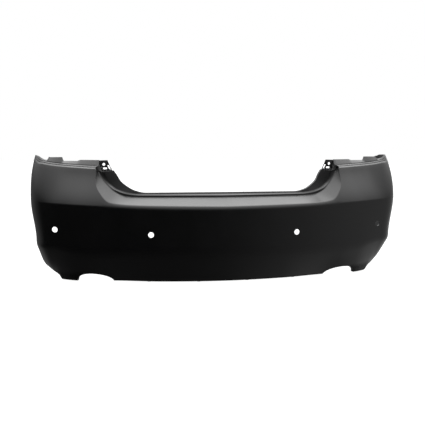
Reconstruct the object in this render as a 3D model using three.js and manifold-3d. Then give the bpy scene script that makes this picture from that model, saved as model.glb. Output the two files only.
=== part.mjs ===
// Rear bumper cover of a saloon: one thin moulded skin with the brackets, sensor holders,
// heat shields, retainers and fasteners that are fixed to it.
// Millimetres. +X to the right seen from behind the car, +Y forward into the car, +Z up.
// The working frame has X = 0 on the centre line, Y = 0 at the rearmost point of the face and
// Z = 0 at the height of the inner parking sensors. The finished group is moved so that the
// origin is the middle of the flat sill flange.
import * as THREE from 'three';
import { mergeVertices } from 'three/addons/utils/BufferGeometryUtils.js';
import Module from 'manifold-3d';

const wasm = await Module();
wasm.setup();

// ---- driving dimensions ----
const SKIN = 3;                  // wall thickness of the moulding
const GAP = 0.4;                 // clearance between pieces that rest on each other
const CROWN = 14.5;              // degrees the face has turned where the corner begins
const CORNER_START = 846;        // arc length from the centre line to the corner
const CORNER_LENGTH = 129;
const CORNER_TURN = 69.2;        // degrees turned round the corner
const SIDE_TURN = 5.8;           // degrees turned along the side panel
const SIDE_TURN_LENGTH = 340;
const SIDE_START = 1150;         // arc length where the columns begin to lean to the wheel arch
const ARCH_RADIUS = 400;         // wheel arch edge
const ARCH_CENTRE_Y = 1015;
const ARCH_CENTRE_Z = -120;
const ARCH_FLANGE = 25;
const LIP_RETURN = 24;           // bottom edge turned forward
const SILL_FLANGE_Z = 187;
const SILL_FLANGE_Y = 122;       // rear edge of the sill flange at the centre line
const SILL_FLANGE_DEPTH = 20;
const BOTTOM_Z = -240;
const SENSOR_HOLE_R = 13.5;
const SENSORS = [[354, 0], [812, 22]];   // arc length and height of each hole
const CUTOUT = { start: 530, top: 640, end: 705, rise: 40 };
const RIVET_R = 2.4;
const CLIP_HOLE_R = 3.2;

// ---- numbers that vary along the cover, each list is [arc length, value] ----
const CREASE_Z = [[0, 118], [200, 120], [400, 125], [600, 135], [750, 142], [900, 150], [1000, 154]];
const LAMP_Z = [[0, 303], [640, 303], [700, 306], [750, 309], [808, 314], [860, 321.5], [900, 330.4],
  [916, 340], [941, 360], [957, 364], [1100, 360], [1150, 352]];
const LEAN_Z = [[0, 305], [610, 305], [678, 308.5], [740, 316], [790, 327], [835, 342], [870, 352],
  [905, 358], [957, 364], [1100, 360], [1150, 352]];
const LEAN_BACK = [[0, 150], [470, 150], [600, 95], [700, 100], [780, 100], [850, 92], [930, 68],
  [1000, 46], [1100, 22], [1250, 5], [1400, 0]];
const LEAN_IN = [[0, 0], [470, 0], [600, 14], [850, 18], [930, 25], [1000, 24], [1400, 26]];
const LEAN_EASE = [[0, 0.3], [740, 0.3], [840, 0], [1400, 0]];
const LEAN_POWER = [[0, 1], [700, 1], [800, 1.1], [905, 1.5], [1000, 2.6], [1400, 2.8]];
const KINK_Z = [[0, -92], [600, -92], [700, -84], [850, -58], [1400, -55]];
const KINK_SOFTNESS = [[0, 30], [600, 30], [850, 16], [1400, 14]];
const KINK_IN = [[0, 0], [700, 0], [870, 14], [930, 20], [1100, 22], [1400, 22]];
const TUCK_FORWARD = [[0, 0.38], [300, 0.45], [530, 0.6], [700, 0.5], [800, 0.55], [870, 0.62],
  [930, 0.7], [1000, 0.6], [1100, 0.35], [1200, 0.12], [1300, 0]];
const TUCK_IN = [[0, 0], [700, 0], [800, 0.06], [930, 0.38], [1100, 0.38], [1250, 0.3], [1400, 0.22]];
const EDGE_Z = [[0, -240], [800, -238], [822, -216], [870, -200], [930, -180], [1000, -168],
  [1100, -160], [1400, -158]];

// ---- the boot opening: steps 0 to 6 run from the centre line to the top corner ----
const NOTCH_STEP = [[0, 0], [400, 1], [470, 2], [525, 3], [565, 4], [600, 5], [640, 6]];
const NOTCH_EDGE_S = [[0, 0], [1, 400], [2, 480], [3, 547], [4, 590], [5, 617], [6, 622]];
const NOTCH_EDGE_Z = [[0, 131], [1, 138], [2, 142], [3, 151], [4, 187], [5, 235], [6, 302]];
const NOTCH_LINES = [
  { x: [[0, 0], [1, 397], [2, 462], [3, 516], [4, 556], [5, 583], [6, 600]],
    y: [[0, 97], [1, 113], [2, 118], [3, 124], [4, 146], [5, 160], [6, 168]],
    z: [[0, 165], [1, 167], [2, 171], [3, 193], [4, 227], [5, 262], [6, 294]] },
  { x: [[0, 0], [1, 396], [2, 459], [3, 512], [4, 551], [5, 577], [6, 593]],
    y: [[0, 98.5], [1, 114.5], [2, 119.5], [3, 126], [4, 148], [5, 162], [6, 170]],
    z: [[0, 175], [1, 177], [2, 183], [3, 202], [4, 231], [5, 263], [6, 292]] },
  { x: [[0, 0], [1, 380], [2, 445], [3, 498], [4, 531], [5, 553], [6, 565]],
    y: [[0, 119], [1, 125], [2, 128], [3, 139], [4, 150], [5, 158], [6, 164]],
    z: [[0, 182], [1, 183], [2, 189], [3, 203], [4, 226], [5, 256], [6, 286]] },
  { x: [[0, 0], [1, 360], [2, 415], [3, 460], [4, 488], [5, 505], [6, 520]],
    y: [[0, 122], [1, 128], [2, 131], [3, 145], [4, 158], [5, 170], [6, 178]],
    z: [[0, 187], [1, 187], [2, 196], [3, 219], [4, 243], [5, 271], [6, 292]] },
];
const CORNER_FLAT_Z = 292;       // flat at the top of the boot opening that carries the bracket
const FAN = [{ s: 646, x: 548 }, { s: 652, x: 578 }];
const CORNER_WALL_S = 655;

// ---- lamp flange, as steps inward and upward from the lamp line ----
const LAMP_FLANGE = [[12, 5], [12.4, 8], [22, 12], [22.4, 15], [44, 16]];
const LAMP_FLANGE_TOP = 337;     // level of the flange's inner edge
const LAMP_TABS = [[640, 716, 5], [795, 870, 18]];
const LAMP_TOP_S = [[652, 624], [660, 626], [690, 668], [712, 703], [740, 740]];
const SEAM_FALL = 277;           // drop of the quarter panel seam to the front tip
const SEAM_POWER = 1.8;

// ---- small helpers ----
const clamp01 = (t) => Math.min(Math.max(t, 0), 1);
const smooth = (t) => clamp01(t) ** 2 * (3 - 2 * clamp01(t));
const lerp = (a, b, t) => a + (b - a) * t;
const rad = THREE.MathUtils.degToRad;

// Smooth monotone curve through [place, value] pairs, flat at both ends.
function along(list, place) {
  const last = list.length - 1;
  if (place <= list[0][0]) return list[0][1];
  if (place >= list[last][0]) return list[last][1];
  const k = list.findIndex((pair, i) => i < last && place < list[i + 1][0]);
  const slope = (i) => (list[i + 1][1] - list[i][1]) / (list[i + 1][0] - list[i][0]);
  const tangent = (i) => {
    if (i === 0 || i === last) return 0;
    const a = slope(i - 1);
    const b = slope(i);
    return a * b <= 0 ? 0 : (2 * a * b) / (a + b);
  };
  const h = list[k + 1][0] - list[k][0];
  const t = (place - list[k][0]) / h;
  return (2 * t ** 3 - 3 * t ** 2 + 1) * list[k][1] + (t ** 3 - 2 * t ** 2 + t) * h * tangent(k)
    + (3 * t ** 2 - 2 * t ** 3) * list[k + 1][1] + (t ** 3 - t ** 2) * h * tangent(k + 1);
}

// ---- plan curve: the direction of the face is a formula, its place is the running sum ----
const PLAN_STEP = 2;
const PLAN_COUNT = 800;
const heading = (s) => rad(CROWN * Math.min(s / CORNER_START, 1)
  + CORNER_TURN * smooth((s - CORNER_START) / CORNER_LENGTH)
  + SIDE_TURN * smooth((s - CORNER_START - 0.7 * CORNER_LENGTH) / SIDE_TURN_LENGTH));
const planTable = [[0, 0]];
for (let i = 0; i < PLAN_COUNT; i += 1) {
  const a = heading((i + 0.5) * PLAN_STEP);
  const [x, y] = planTable[i];
  planTable.push([x + Math.cos(a) * PLAN_STEP, y + Math.sin(a) * PLAN_STEP]);
}
function plan(s) {
  const i = Math.min(Math.floor(s / PLAN_STEP), PLAN_COUNT - 1);
  const f = s / PLAN_STEP - i;
  return [lerp(planTable[i][0], planTable[i + 1][0], f), lerp(planTable[i][1], planTable[i + 1][1], f)];
}
const inward = (s) => new THREE.Vector3(-Math.sin(heading(s)), Math.cos(heading(s)), 0);

// ---- outer surface of the skin at arc length s and height z ----
function surface(s, z) {
  let [x, y] = plan(s);
  const crease = along(CREASE_Z, s);
  if (z > crease) {
    const rise = (z - crease) / (along(LEAN_Z, s) - crease);
    const lean = lerp(rise, smooth(rise), along(LEAN_EASE, s)) ** along(LEAN_POWER, s);
    x -= along(LEAN_IN, s) * lean;
    y += along(LEAN_BACK, s) * lean;
    return new THREE.Vector3(x, y, z);
  }
  x -= along(KINK_IN, s) * smooth((crease - z) / 190);
  const soft = along(KINK_SOFTNESS, s);
  const below = along(KINK_Z, s) - z;
  const tuck = below > soft ? below : Math.max(below + soft, 0) ** 2 / (4 * soft);
  const steepening = 0.62 + 0.38 * smooth((tuck - 85) / 80);
  x -= along(TUCK_IN, s) * tuck * steepening;
  return new THREE.Vector3(x, y + along(TUCK_FORWARD, s) * tuck, z);
}

// Bottom edge, with the tailpipe cut-out.
function edgeZ(s) {
  const { start, top, end, rise } = CUTOUT;
  if (s <= start || s >= end) return along(EDGE_Z, s);
  const t = s < top ? (top - s) / (top - start) : (s - top) / (end - top);
  const roundness = s < top ? 1.7 : 2.4;
  return BOTTOM_Z + rise * (1 - t ** roundness) ** (1 / roundness);
}

// Arc length of the wheel arch edge at height z.
function archS(z) {
  const height = Math.min(z - ARCH_CENTRE_Z, 0.6 * ARCH_RADIUS);
  const y = ARCH_CENTRE_Y - Math.sqrt(ARCH_RADIUS ** 2 - height ** 2);
  return SIDE_START + (y - plan(SIDE_START)[1]);
}

// ---- the grid of the skin: each column is a list of points from the lip to the top flange ----
const LOWER_ROWS = 3;
const FACE_ROWS = 3;
const UPPER_ROWS = 3;
const FLANGE_ROWS = LAMP_FLANGE.length;
const sideAmount = (s) => smooth((s - 880) / 80);

function bodyPoints(column) {
  const { s, lean, topS, topZ } = column;
  const at = (z, place) => surface(lean === undefined ? place : lerp(SIDE_START, archS(z), lean), z);
  const edge = edgeZ(s);
  const soft = smooth((s - 900) / 100);
  const bottom = at(edge, s);
  const points = [bottom.clone().addScaledVector(inward(s), LIP_RETURN).lerp(bottom, soft)];
  const lip = edge + lerp(7, 9, soft);
  points.push(at(lerp(edge, edge + 4, soft), s));
  points.push(at(lip, s));
  const kink = Math.max(along(KINK_Z, s), lip + 20);
  const crease = Math.min(along(CREASE_Z, s), lerp(kink, topZ, 0.75));
  for (let i = 1; i <= LOWER_ROWS; i += 1) points.push(at(lerp(lip, kink, i / LOWER_ROWS), s));
  for (let i = 1; i <= FACE_ROWS; i += 1) points.push(at(lerp(kink, crease, i / FACE_ROWS), s));
  for (let i = 1; i <= UPPER_ROWS; i += 1) {
    const t = i / UPPER_ROWS;
    points.push(at(lerp(crease, topZ, t), lerp(s, topS, t)));
  }
  return points;
}

// Points past the skin's top edge round the boot opening, at notch step t.
function notchPoints(t) {
  const points = NOTCH_LINES.map((line) => new THREE.Vector3(
    along(line.x, t), along(line.y, t), along(line.z, t)));
  const top = points[points.length - 1];
  points.push(top.clone().add(new THREE.Vector3(0, SILL_FLANGE_DEPTH, 0)));
  return points;
}

// Flat at the top corner, between the boot opening and the lamp flange.
function fanPoints(x) {
  const t = (x - 520) / (609 - 520);
  return [
    new THREE.Vector3(lerp(600, 609, t), 166, lerp(294, 300, t)),
    new THREE.Vector3(lerp(593, 608, t), 168, CORNER_FLAT_Z),
    new THREE.Vector3(lerp(562, 606, t), 170, lerp(287, 291, t)),
    new THREE.Vector3(x, 178, CORNER_FLAT_Z),
    new THREE.Vector3(x, 178 + SILL_FLANGE_DEPTH, CORNER_FLAT_Z),
  ];
}

function lampPoints(column) {
  const { topS, topZ, lean } = column;
  const side = lean === undefined ? sideAmount(topS) : 1;
  const place = (z) => (lean === undefined ? topS : lerp(SIDE_START, archS(z), lean));
  const base = surface(place(topZ), topZ);
  const tab = LAMP_TABS.find(([from, to]) => topS >= from && topS <= to);
  return LAMP_FLANGE.map(([into, up], k) => {
    const flange = base.clone().addScaledVector(inward(topS), into);
    flange.z += k < FLANGE_ROWS - 1 ? up : Math.max(LAMP_FLANGE_TOP - topZ, up) + (tab ? tab[2] : 0);
    const z = topZ + 25 * ((k + 1) / FLANGE_ROWS);
    return flange.lerp(surface(place(z), z), side);
  });
}

// Wall between the bracket flat and the lamp flange: it rises steeply beside the flat.
function cornerWall() {
  const ends = [columnAt(652), columnAt(660)];
  const flangeStart = ends[0].length - FLANGE_ROWS;
  return ends[0].map((p, i) => {
    const q = ends[1][i];
    if (i < flangeStart) return p.clone().lerp(q, 0.375);
    return new THREE.Vector3(lerp(p.x, q.x, 0.48), lerp(p.y, q.y, 0.48), lerp(p.z, q.z, 0.8));
  });
}

function columnAt(s) {
  if (s <= 640) {
    const t = along(NOTCH_STEP, s);
    const column = { s, topS: along(NOTCH_EDGE_S, t), topZ: along(NOTCH_EDGE_Z, t) };
    return [...bodyPoints(column), ...notchPoints(t)];
  }
  const fan = FAN.find((entry) => entry.s === s);
  if (fan) {
    return [...bodyPoints({ s, topS: lerp(622, 624, (s - 640) / 12), topZ: 302.5 }), ...fanPoints(fan.x)];
  }
  if (s === CORNER_WALL_S) return cornerWall();
  const topS = s < 740 ? along(LAMP_TOP_S, s) : s;
  const topZ = along(LAMP_Z, topS) - 25 * sideAmount(topS);
  return [...bodyPoints({ s, topS, topZ }), ...lampPoints({ topS, topZ })];
}

function sideColumn(lean) {
  const s = lerp(SIDE_START, archS(0), lean);
  const topZ = along(LAMP_Z, SIDE_START) - 25 - SEAM_FALL * lean ** SEAM_POWER;
  return [...bodyPoints({ s, topS: s, topZ, lean }), ...lampPoints({ topS: s, topZ, lean })];
}

const FACE_STATIONS = [0, 80, 160, 240, 320, 400, 440, 470, 500, 525, 547, 565, 590, 612, 640,
  646, 652, CORNER_WALL_S, 660, 690, 705, 717, 724, 750, 788, 795, 812, 841, 853, 870, 877, 892,
  905, 918, 934, 957, 990, 1040, 1150];
const SIDE_LEANS = [0.25, 0.5, 0.75, 1];

const halfColumns = [...FACE_STATIONS.map(columnAt), ...SIDE_LEANS.map(sideColumn)];
const archColumn = halfColumns[halfColumns.length - 1];
halfColumns.push(archColumn.map((p) => p.clone().add(new THREE.Vector3(-ARCH_FLANGE, 0, 0))));

const mirror = (p, side) => new THREE.Vector3(p.x * side, p.y, p.z);
const grid = [
  ...halfColumns.slice(1).reverse().map((column) => column.map((p) => mirror(p, -1))),
  ...halfColumns,
];

// ---- manifold-3d: boolean cut and join ----
function toSolid(geometry) {
  const bare = geometry.clone();
  bare.deleteAttribute('normal');
  bare.deleteAttribute('uv');
  const merged = mergeVertices(bare, 1e-4);
  return new wasm.Manifold(new wasm.Mesh({
    numProp: 3,
    vertProperties: new Float32Array(merged.attributes.position.array),
    triVerts: new Uint32Array(merged.index.array),
  }));
}
function toGeometry(solid) {
  const mesh = solid.getMesh();
  const geometry = new THREE.BufferGeometry();
  geometry.setAttribute('position', new THREE.BufferAttribute(new Float32Array(mesh.vertProperties), 3));
  geometry.setIndex(new THREE.BufferAttribute(new Uint32Array(mesh.triVerts), 1));
  geometry.computeVertexNormals();
  return geometry;
}
const cut = (geometry, tools) => toGeometry(
  tools.reduce((solid, tool) => solid.subtract(toSolid(tool)), toSolid(geometry)));
const join = (geometries) => toGeometry(
  geometries.map(toSolid).reduce((whole, solid) => whole.add(solid)));

// Place a geometry so that its local +Z points along a direction.
function aim(geometry, position, direction) {
  const turn = new THREE.Quaternion().setFromUnitVectors(
    new THREE.Vector3(0, 0, 1), direction.clone().normalize());
  return geometry.applyQuaternion(turn).translate(position.x, position.y, position.z);
}
function rod(radius, length, sides = 16) {
  return new THREE.CylinderGeometry(radius, radius, length, sides).rotateX(Math.PI / 2);
}

// ---- closed sheet of even thickness from a grid of outer points ----
function sheet(points, thickness) {
  const cols = points.length;
  const rows = points[0].length;
  const id = (c, r) => c * rows + r;
  const outer = new THREE.BufferGeometry();
  const flat = points.flat();
  const index = [];
  for (let c = 0; c < cols - 1; c += 1) {
    for (let r = 0; r < rows - 1; r += 1) {
      index.push(id(c, r), id(c + 1, r), id(c + 1, r + 1), id(c, r), id(c + 1, r + 1), id(c, r + 1));
    }
  }
  outer.setAttribute('position', new THREE.Float32BufferAttribute(flat.flatMap((p) => p.toArray()), 3));
  outer.setIndex(index);
  outer.computeVertexNormals();
  const normal = new THREE.Vector3();
  const inner = flat.map((p, i) => {
    normal.fromBufferAttribute(outer.attributes.normal, i);
    return p.clone().addScaledVector(normal, -thickness);
  });
  const count = flat.length;
  const faces = [...index];
  for (let i = 0; i < index.length; i += 3) {
    faces.push(index[i] + count, index[i + 2] + count, index[i + 1] + count);
  }
  const wall = (a, b) => faces.push(b, a, a + count, b, a + count, b + count);
  for (let c = 0; c < cols - 1; c += 1) {
    wall(id(c, 0), id(c + 1, 0));
    wall(id(c + 1, rows - 1), id(c, rows - 1));
  }
  for (let r = 0; r < rows - 1; r += 1) {
    wall(id(0, r + 1), id(0, r));
    wall(id(cols - 1, r), id(cols - 1, r + 1));
  }
  const body = new THREE.BufferGeometry();
  body.setAttribute('position', new THREE.Float32BufferAttribute(
    [...flat, ...inner].flatMap((p) => p.toArray()), 3));
  body.setIndex(faces);
  return body;
}

// Centre, normal and directions of the grid cell between two columns and two rows.
const CENTRE = halfColumns.length - 1;
function cell(column, row, side = 1) {
  const c = CENTRE + column;
  const [a, b, d, e] = [grid[c][row], grid[c + 1][row], grid[c][row + 1], grid[c + 1][row + 1]];
  const centre = a.clone().add(b).add(d).add(e).multiplyScalar(0.25);
  const across = b.clone().sub(a).add(e).sub(d).normalize();
  const upward = d.clone().sub(a).add(e).sub(b).normalize();
  const out = across.clone().cross(upward).normalize();
  return {
    centre: mirror(centre, side),
    out: mirror(out, side),
    across: mirror(across, side),
    upward: mirror(upward, side),
  };
}

// ---- materials ----
const plastic = (color, roughness) => new THREE.MeshStandardMaterial({ color, roughness, metalness: 0 });
const metal = (color, roughness) => new THREE.MeshStandardMaterial({ color, roughness, metalness: 1 });
const PRIMED = plastic(0x26272a, 0.42);
const BRACKET_BLACK = plastic(0x101012, 0.6);
const HOLDER_BLACK = plastic(0x17181a, 0.55);
const SHIELD_METAL = metal(0xb4b6b8, 0.38);
const RIVET_METAL = metal(0x9a9da0, 0.35);
const CLIP_STEEL = metal(0x3c3f42, 0.5);

const model = new THREE.Group();
function place(name, geometry, material) {
  const mesh = new THREE.Mesh(geometry, material);
  mesh.name = name;
  model.add(mesh);
}
const SIDES = [['left', -1], ['right', 1]];

// ---- fixing places, found on the grid so that they lie on the moulded faces ----
const LIP_CELLS = [1, 4];                         // columns with a clip nut on the bottom return
const ARCH_CELLS = [3, 5, 8];                     // rows with a clip nut on the wheel arch flange
const ARCH_CELL_COLUMN = halfColumns.length - 2;
const CLIP_CELLS = [...LIP_CELLS.map((c) => [c, 0]), ...ARCH_CELLS.map((r) => [ARCH_CELL_COLUMN, r])];
const SHIELD_CELLS = [11, 16];                    // columns with a shield rivet over the cut-out
const SILL_CLIP_X = [110, 300];
const BRACKET_RIVET_X = [536, 563];
const BRACKET_Y = 195;                            // rear face of the upright plate
const BRACKET_THICKNESS = 3;
const BRACKET_FOOT = { from: 528, to: 574, rear: 180 };
const BRACKET_RIVET_Y = 187;
const UP = new THREE.Vector3(0, 0, 1);

// ---- skin ----
function sensorFrame(s, z) {
  const centre = surface(s, z);
  return { centre, out: inward(s).negate() };
}
function skin() {
  const tools = [];
  for (const [, side] of SIDES) {
    for (const [s, z] of SENSORS) {
      const { centre, out } = sensorFrame(s, z);
      tools.push(aim(rod(SENSOR_HOLE_R, 40, 20), mirror(centre, side), mirror(out, side)));
    }
    for (const x of SILL_CLIP_X) {
      const spot = new THREE.Vector3(x * side, SILL_FLANGE_Y + 14, SILL_FLANGE_Z);
      tools.push(aim(rod(CLIP_HOLE_R, 20, 10), spot, UP));
    }
    for (const x of BRACKET_RIVET_X) {
      const spot = new THREE.Vector3(x * side, BRACKET_RIVET_Y, CORNER_FLAT_Z);
      tools.push(aim(rod(RIVET_R + GAP, 14, 10), spot, UP));
    }
    for (const [column, row] of CLIP_CELLS) {
      const { centre, out } = cell(column, row, side);
      tools.push(aim(rod(CLIP_HOLE_R, 16, 10), centre, out));
    }
    for (const column of SHIELD_CELLS) {
      const { centre, out } = cell(column, 0, side);
      tools.push(aim(rod(RIVET_R + GAP, 16, 10), centre, out));
    }
  }
  return cut(sheet(grid, SKIN), tools);
}
place('cover_skin', skin(), PRIMED);

// ---- blind rivet: head on the local +Z side of the joint, tail past the grip ----
function rivet(position, direction, grip) {
  const profile = [[0, -grip - 2.8], [3.4, -grip - 2.2], [3.6, -grip - 0.4], [RIVET_R, -grip],
    [RIVET_R, 0], [4.8, 0], [4.4, 0.7], [2.6, 1.6], [0, 1.8]];
  const body = new THREE.LatheGeometry(profile.map(([x, y]) => new THREE.Vector2(x, y)), 12);
  return aim(body.rotateX(Math.PI / 2), position, direction);
}

// ---- brackets at the top corners of the boot opening ----
function outline(points, side) {
  const mirrored = points.map(([x, z]) => new THREE.Vector2(x * side, z));
  return side > 0 ? mirrored : mirrored.reverse();
}
function circle(x, z, radius, sides) {
  return Array.from({ length: sides }, (_, i) => {
    const a = (i / sides) * 2 * Math.PI;
    return [x + radius * Math.cos(a), z + radius * Math.sin(a)];
  });
}
function bracket(side) {
  const plate = new THREE.Shape(outline([[528, 292.4], [572, 292.4], [590, 340], [549, 341]], side));
  const roundHole = new THREE.Path(outline(circle(567, 321, 6.5, 16), side));
  const flatSlot = new THREE.Path(outline([[552, 298], [569, 297.5], [571, 305.5], [553, 306]], side));
  const slantSlot = new THREE.Path(outline([[534.5, 299], [542, 299], [550.5, 317], [543, 317]], side));
  plate.holes.push(roundHole, flatSlot, slantSlot);
  const upright = new THREE.ExtrudeGeometry(plate, {
    depth: BRACKET_THICKNESS, bevelEnabled: false, curveSegments: 8 });
  upright.rotateX(Math.PI / 2).translate(0, BRACKET_Y + BRACKET_THICKNESS, 0);
  const { from, to, rear } = BRACKET_FOOT;
  const depth = BRACKET_Y + BRACKET_THICKNESS - rear;
  const foot = new THREE.BoxGeometry(to - from, depth, BRACKET_THICKNESS);
  foot.translate(side * (from + to) / 2, rear + depth / 2, CORNER_FLAT_Z + GAP + BRACKET_THICKNESS / 2);
  const holes = BRACKET_RIVET_X.map((x) => aim(
    rod(RIVET_R + GAP, 12, 10), new THREE.Vector3(x * side, BRACKET_RIVET_Y, CORNER_FLAT_Z), UP));
  return cut(join([upright, foot]), holes);
}
for (const [name, side] of SIDES) {
  place(`corner_bracket_${name}`, bracket(side), BRACKET_BLACK);
  BRACKET_RIVET_X.forEach((x, i) => {
    const headZ = CORNER_FLAT_Z + 2 * GAP + BRACKET_THICKNESS;
    const at = new THREE.Vector3(x * side, BRACKET_RIVET_Y, headZ);
    const grip = headZ - (CORNER_FLAT_Z - SKIN) + GAP;
    place(`bracket_rivet_${name}_${i + 1}`, rivet(at, UP, grip), RIVET_METAL);
  });
}

// ---- parking sensor holders: a collar behind each hole, with two snap lugs ----
const HOLDER_CLEARANCE = 1.2;     // adhesive gap behind the curved wall
function sensorHolder(s, z, side) {
  const profile = [[17, 0], [17, -8], [19.5, -8], [19.5, -2.5], [24, -2.5], [24, 0], [17, 0]];
  const collar = new THREE.LatheGeometry(profile.map(([x, y]) => new THREE.Vector2(x, y)), 20);
  const lugs = [-1, 1].map((end) => new THREE.BoxGeometry(4.5, 3, 8).translate(end * 20.7, -5, 0));
  const solid = join([collar, ...lugs]).rotateX(Math.PI / 2);
  const { centre, out } = sensorFrame(s, z);
  const seat = centre.clone().addScaledVector(out, -SKIN - HOLDER_CLEARANCE);
  return aim(solid, mirror(seat, side), mirror(out, side));
}
for (const [name, side] of SIDES) {
  SENSORS.forEach(([s, z], i) => {
    const position = i === 0 ? 'inner' : 'outer';
    place(`sensor_holder_${position}_${name}`, sensorHolder(s, z, side), HOLDER_BLACK);
  });
}

// ---- heat shields over the tailpipe cut-outs, riveted on the turned edge ----
const SHIELD_THICKNESS = 1.2;
const SHIELD_LIFT = 1.4;          // above the turned edge
const SHIELD_STATIONS = [547, 565, 590, 612, 640, 660, 690];
const SHIELD_ROWS = [[5, 0], [22, 0], [48, 8], [80, 14], [112, 16]];
function heatShield(side) {
  const lift = SKIN + SHIELD_LIFT + SHIELD_THICKNESS;
  const columns = SHIELD_STATIONS.map((s) => SHIELD_ROWS.map(([into, up]) => {
    const point = surface(s, edgeZ(s)).addScaledVector(inward(s), into);
    point.z += lift + up;
    return mirror(point, side);
  }));
  return sheet(side > 0 ? columns : columns.reverse(), SHIELD_THICKNESS);
}
for (const [name, side] of SIDES) {
  place(`tailpipe_shield_${name}`, cut(heatShield(side), SHIELD_CELLS.map((column) => {
    const { centre, out } = cell(column, 0, side);
    return aim(rod(RIVET_R + GAP, 24, 10), centre, out);
  })), SHIELD_METAL);
  SHIELD_CELLS.forEach((column, i) => {
    const { centre, out } = cell(column, 0, side);
    const at = centre.clone().addScaledVector(out, GAP);
    const grip = SKIN + SHIELD_LIFT + SHIELD_THICKNESS + 3 * GAP;
    place(`shield_rivet_${name}_${i + 1}`, rivet(at, out, grip), RIVET_METAL);
  });
}

// ---- spring clip nuts on the bottom return and on the wheel arch flanges ----
const CLIP_THICKNESS = 1.2;
const CLIP_WIDTH = 14;
function clipNut(centre, out, edge, alongEdge, halfDepth) {
  const inner = SKIN + GAP;
  const front = halfDepth + 0.8;
  const t = CLIP_THICKNESS;
  const profile = new THREE.Shape([[-8, GAP + t], [front + t, GAP + t], [front + t, -inner - t],
    [-8, -inner - t], [-8, -inner], [front, -inner], [front, GAP], [-8, GAP],
  ].map(([x, y]) => new THREE.Vector2(x, y)));
  const strap = new THREE.ExtrudeGeometry(profile, { depth: CLIP_WIDTH, bevelEnabled: false });
  strap.translate(0, 0, -CLIP_WIDTH / 2).rotateX(Math.PI / 2);
  const barrel = rod(4.2, 6, 12).translate(0, 0, -inner - t - 2.5);
  const bore = rod(2.2, 40, 12);
  const solid = cut(join([strap, barrel]), [bore]);
  const z = out.clone().normalize();
  const x = alongEdge.clone().cross(z).normalize();
  if (x.dot(edge) < 0) x.negate();
  const y = z.clone().cross(x);
  return solid.applyMatrix4(new THREE.Matrix4().makeBasis(x, y, z).setPosition(centre));
}
for (const [name, side] of SIDES) {
  LIP_CELLS.forEach((column, i) => {
    const { centre, out, across, upward } = cell(column, 0, side);
    const nut = clipNut(centre, out, upward.negate(), across, LIP_RETURN / 2);
    place(`lip_clip_nut_${name}_${i + 1}`, nut, CLIP_STEEL);
  });
  ARCH_CELLS.forEach((row, i) => {
    const { centre, out, across, upward } = cell(ARCH_CELL_COLUMN, row, side);
    const nut = clipNut(centre, out, across, upward, ARCH_FLANGE / 2);
    place(`arch_clip_nut_${name}_${i + 1}`, nut, CLIP_STEEL);
  });
}

// ---- retainers bonded inside the side panels, under the quarter panel seam ----
const RETAINER_COLUMNS = [FACE_STATIONS.indexOf(990), FACE_STATIONS.length + 1];
const RETAINER_ROW = 3 + LOWER_ROWS + FACE_ROWS + UPPER_ROWS - 2;
const RETAINER_CLEARANCE = 1.6;
const RETAINER_THICKNESS = 2.5;
const HOOK_PLACES = [0, 1, 2];
function sideRetainer(side) {
  const [from, to] = RETAINER_COLUMNS;
  const back = new THREE.Vector3(-(SKIN + RETAINER_CLEARANCE), 0, 0);
  const columns = halfColumns.slice(from, to + 1).map((column) => [0.45, 0.97].map((v) => mirror(
    column[RETAINER_ROW].clone().lerp(column[RETAINER_ROW + 1], v).add(back), side)));
  const strip = sheet(side > 0 ? columns : [...columns].reverse(), RETAINER_THICKNESS);
  const hooks = HOOK_PLACES.map((k) => {
    const [low, high] = columns[k].map((p, r) => p.clone().lerp(columns[k + 1][r], 0.5));
    const middle = low.lerp(high, 0.5);
    return new THREE.BoxGeometry(12, 16, 10).translate(middle.x - 7 * side, middle.y, middle.z);
  });
  return join([strip, ...hooks]);
}
for (const [name, side] of SIDES) {
  place(`side_retainer_${name}`, sideRetainer(side), HOLDER_BLACK);
}

// ---- the origin is the middle of the sill flange ----
const centred = new THREE.Group();
model.position.set(0, -(SILL_FLANGE_Y + SILL_FLANGE_DEPTH / 2), -SILL_FLANGE_Z);
centred.add(model);

export default centred;
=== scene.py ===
"""Rear bumper cover of a saloon: the fine moulded skin with its brackets, holders, shields and fasteners."""

from __future__ import annotations

import logging
import math
from collections.abc import Callable
from dataclasses import dataclass, field
from enum import Enum
from functools import cached_property, lru_cache

import bpy
import numpy as np
from mathutils import Matrix, Vector


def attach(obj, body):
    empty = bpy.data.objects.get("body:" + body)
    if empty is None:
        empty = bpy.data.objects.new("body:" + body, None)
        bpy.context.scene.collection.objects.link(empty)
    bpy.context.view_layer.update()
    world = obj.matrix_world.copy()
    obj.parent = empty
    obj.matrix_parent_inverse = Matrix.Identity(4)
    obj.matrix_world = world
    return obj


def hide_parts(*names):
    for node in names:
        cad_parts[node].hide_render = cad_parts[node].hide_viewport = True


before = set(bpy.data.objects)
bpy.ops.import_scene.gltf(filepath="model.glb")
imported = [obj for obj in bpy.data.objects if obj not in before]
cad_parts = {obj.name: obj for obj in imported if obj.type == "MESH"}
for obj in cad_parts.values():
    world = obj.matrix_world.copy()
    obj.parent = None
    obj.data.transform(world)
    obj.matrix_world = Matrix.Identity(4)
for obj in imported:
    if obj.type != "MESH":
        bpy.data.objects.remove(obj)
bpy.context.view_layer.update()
LOG = logging.getLogger("bumper_cover")

MM = 0.001
ORIGIN = Vector((0.0, 132.0, 187.0))  # the frame's origin in the moulding's own millimetres
UP = Vector((0.0, 0.0, 1.0))

Pairs = tuple[tuple[float, float], ...]
Colour = tuple[float, float, float]


class Side(Enum):
    """A side of the car, with the sign of its X."""

    LEFT = -1
    RIGHT = 1

    @property
    def word(self) -> str:
        """The side's name as the frame's nodes spell it."""
        return self.name.lower()


class Slot(Enum):
    """The record's material slots."""

    SKIN = "primed_skin"
    BRACKET = "bracket_black"
    HOLDER = "holder_black"
    SHIELD = "shield_metal"
    RIVET = "rivet_metal"
    CLIP = "clip_steel"


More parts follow.
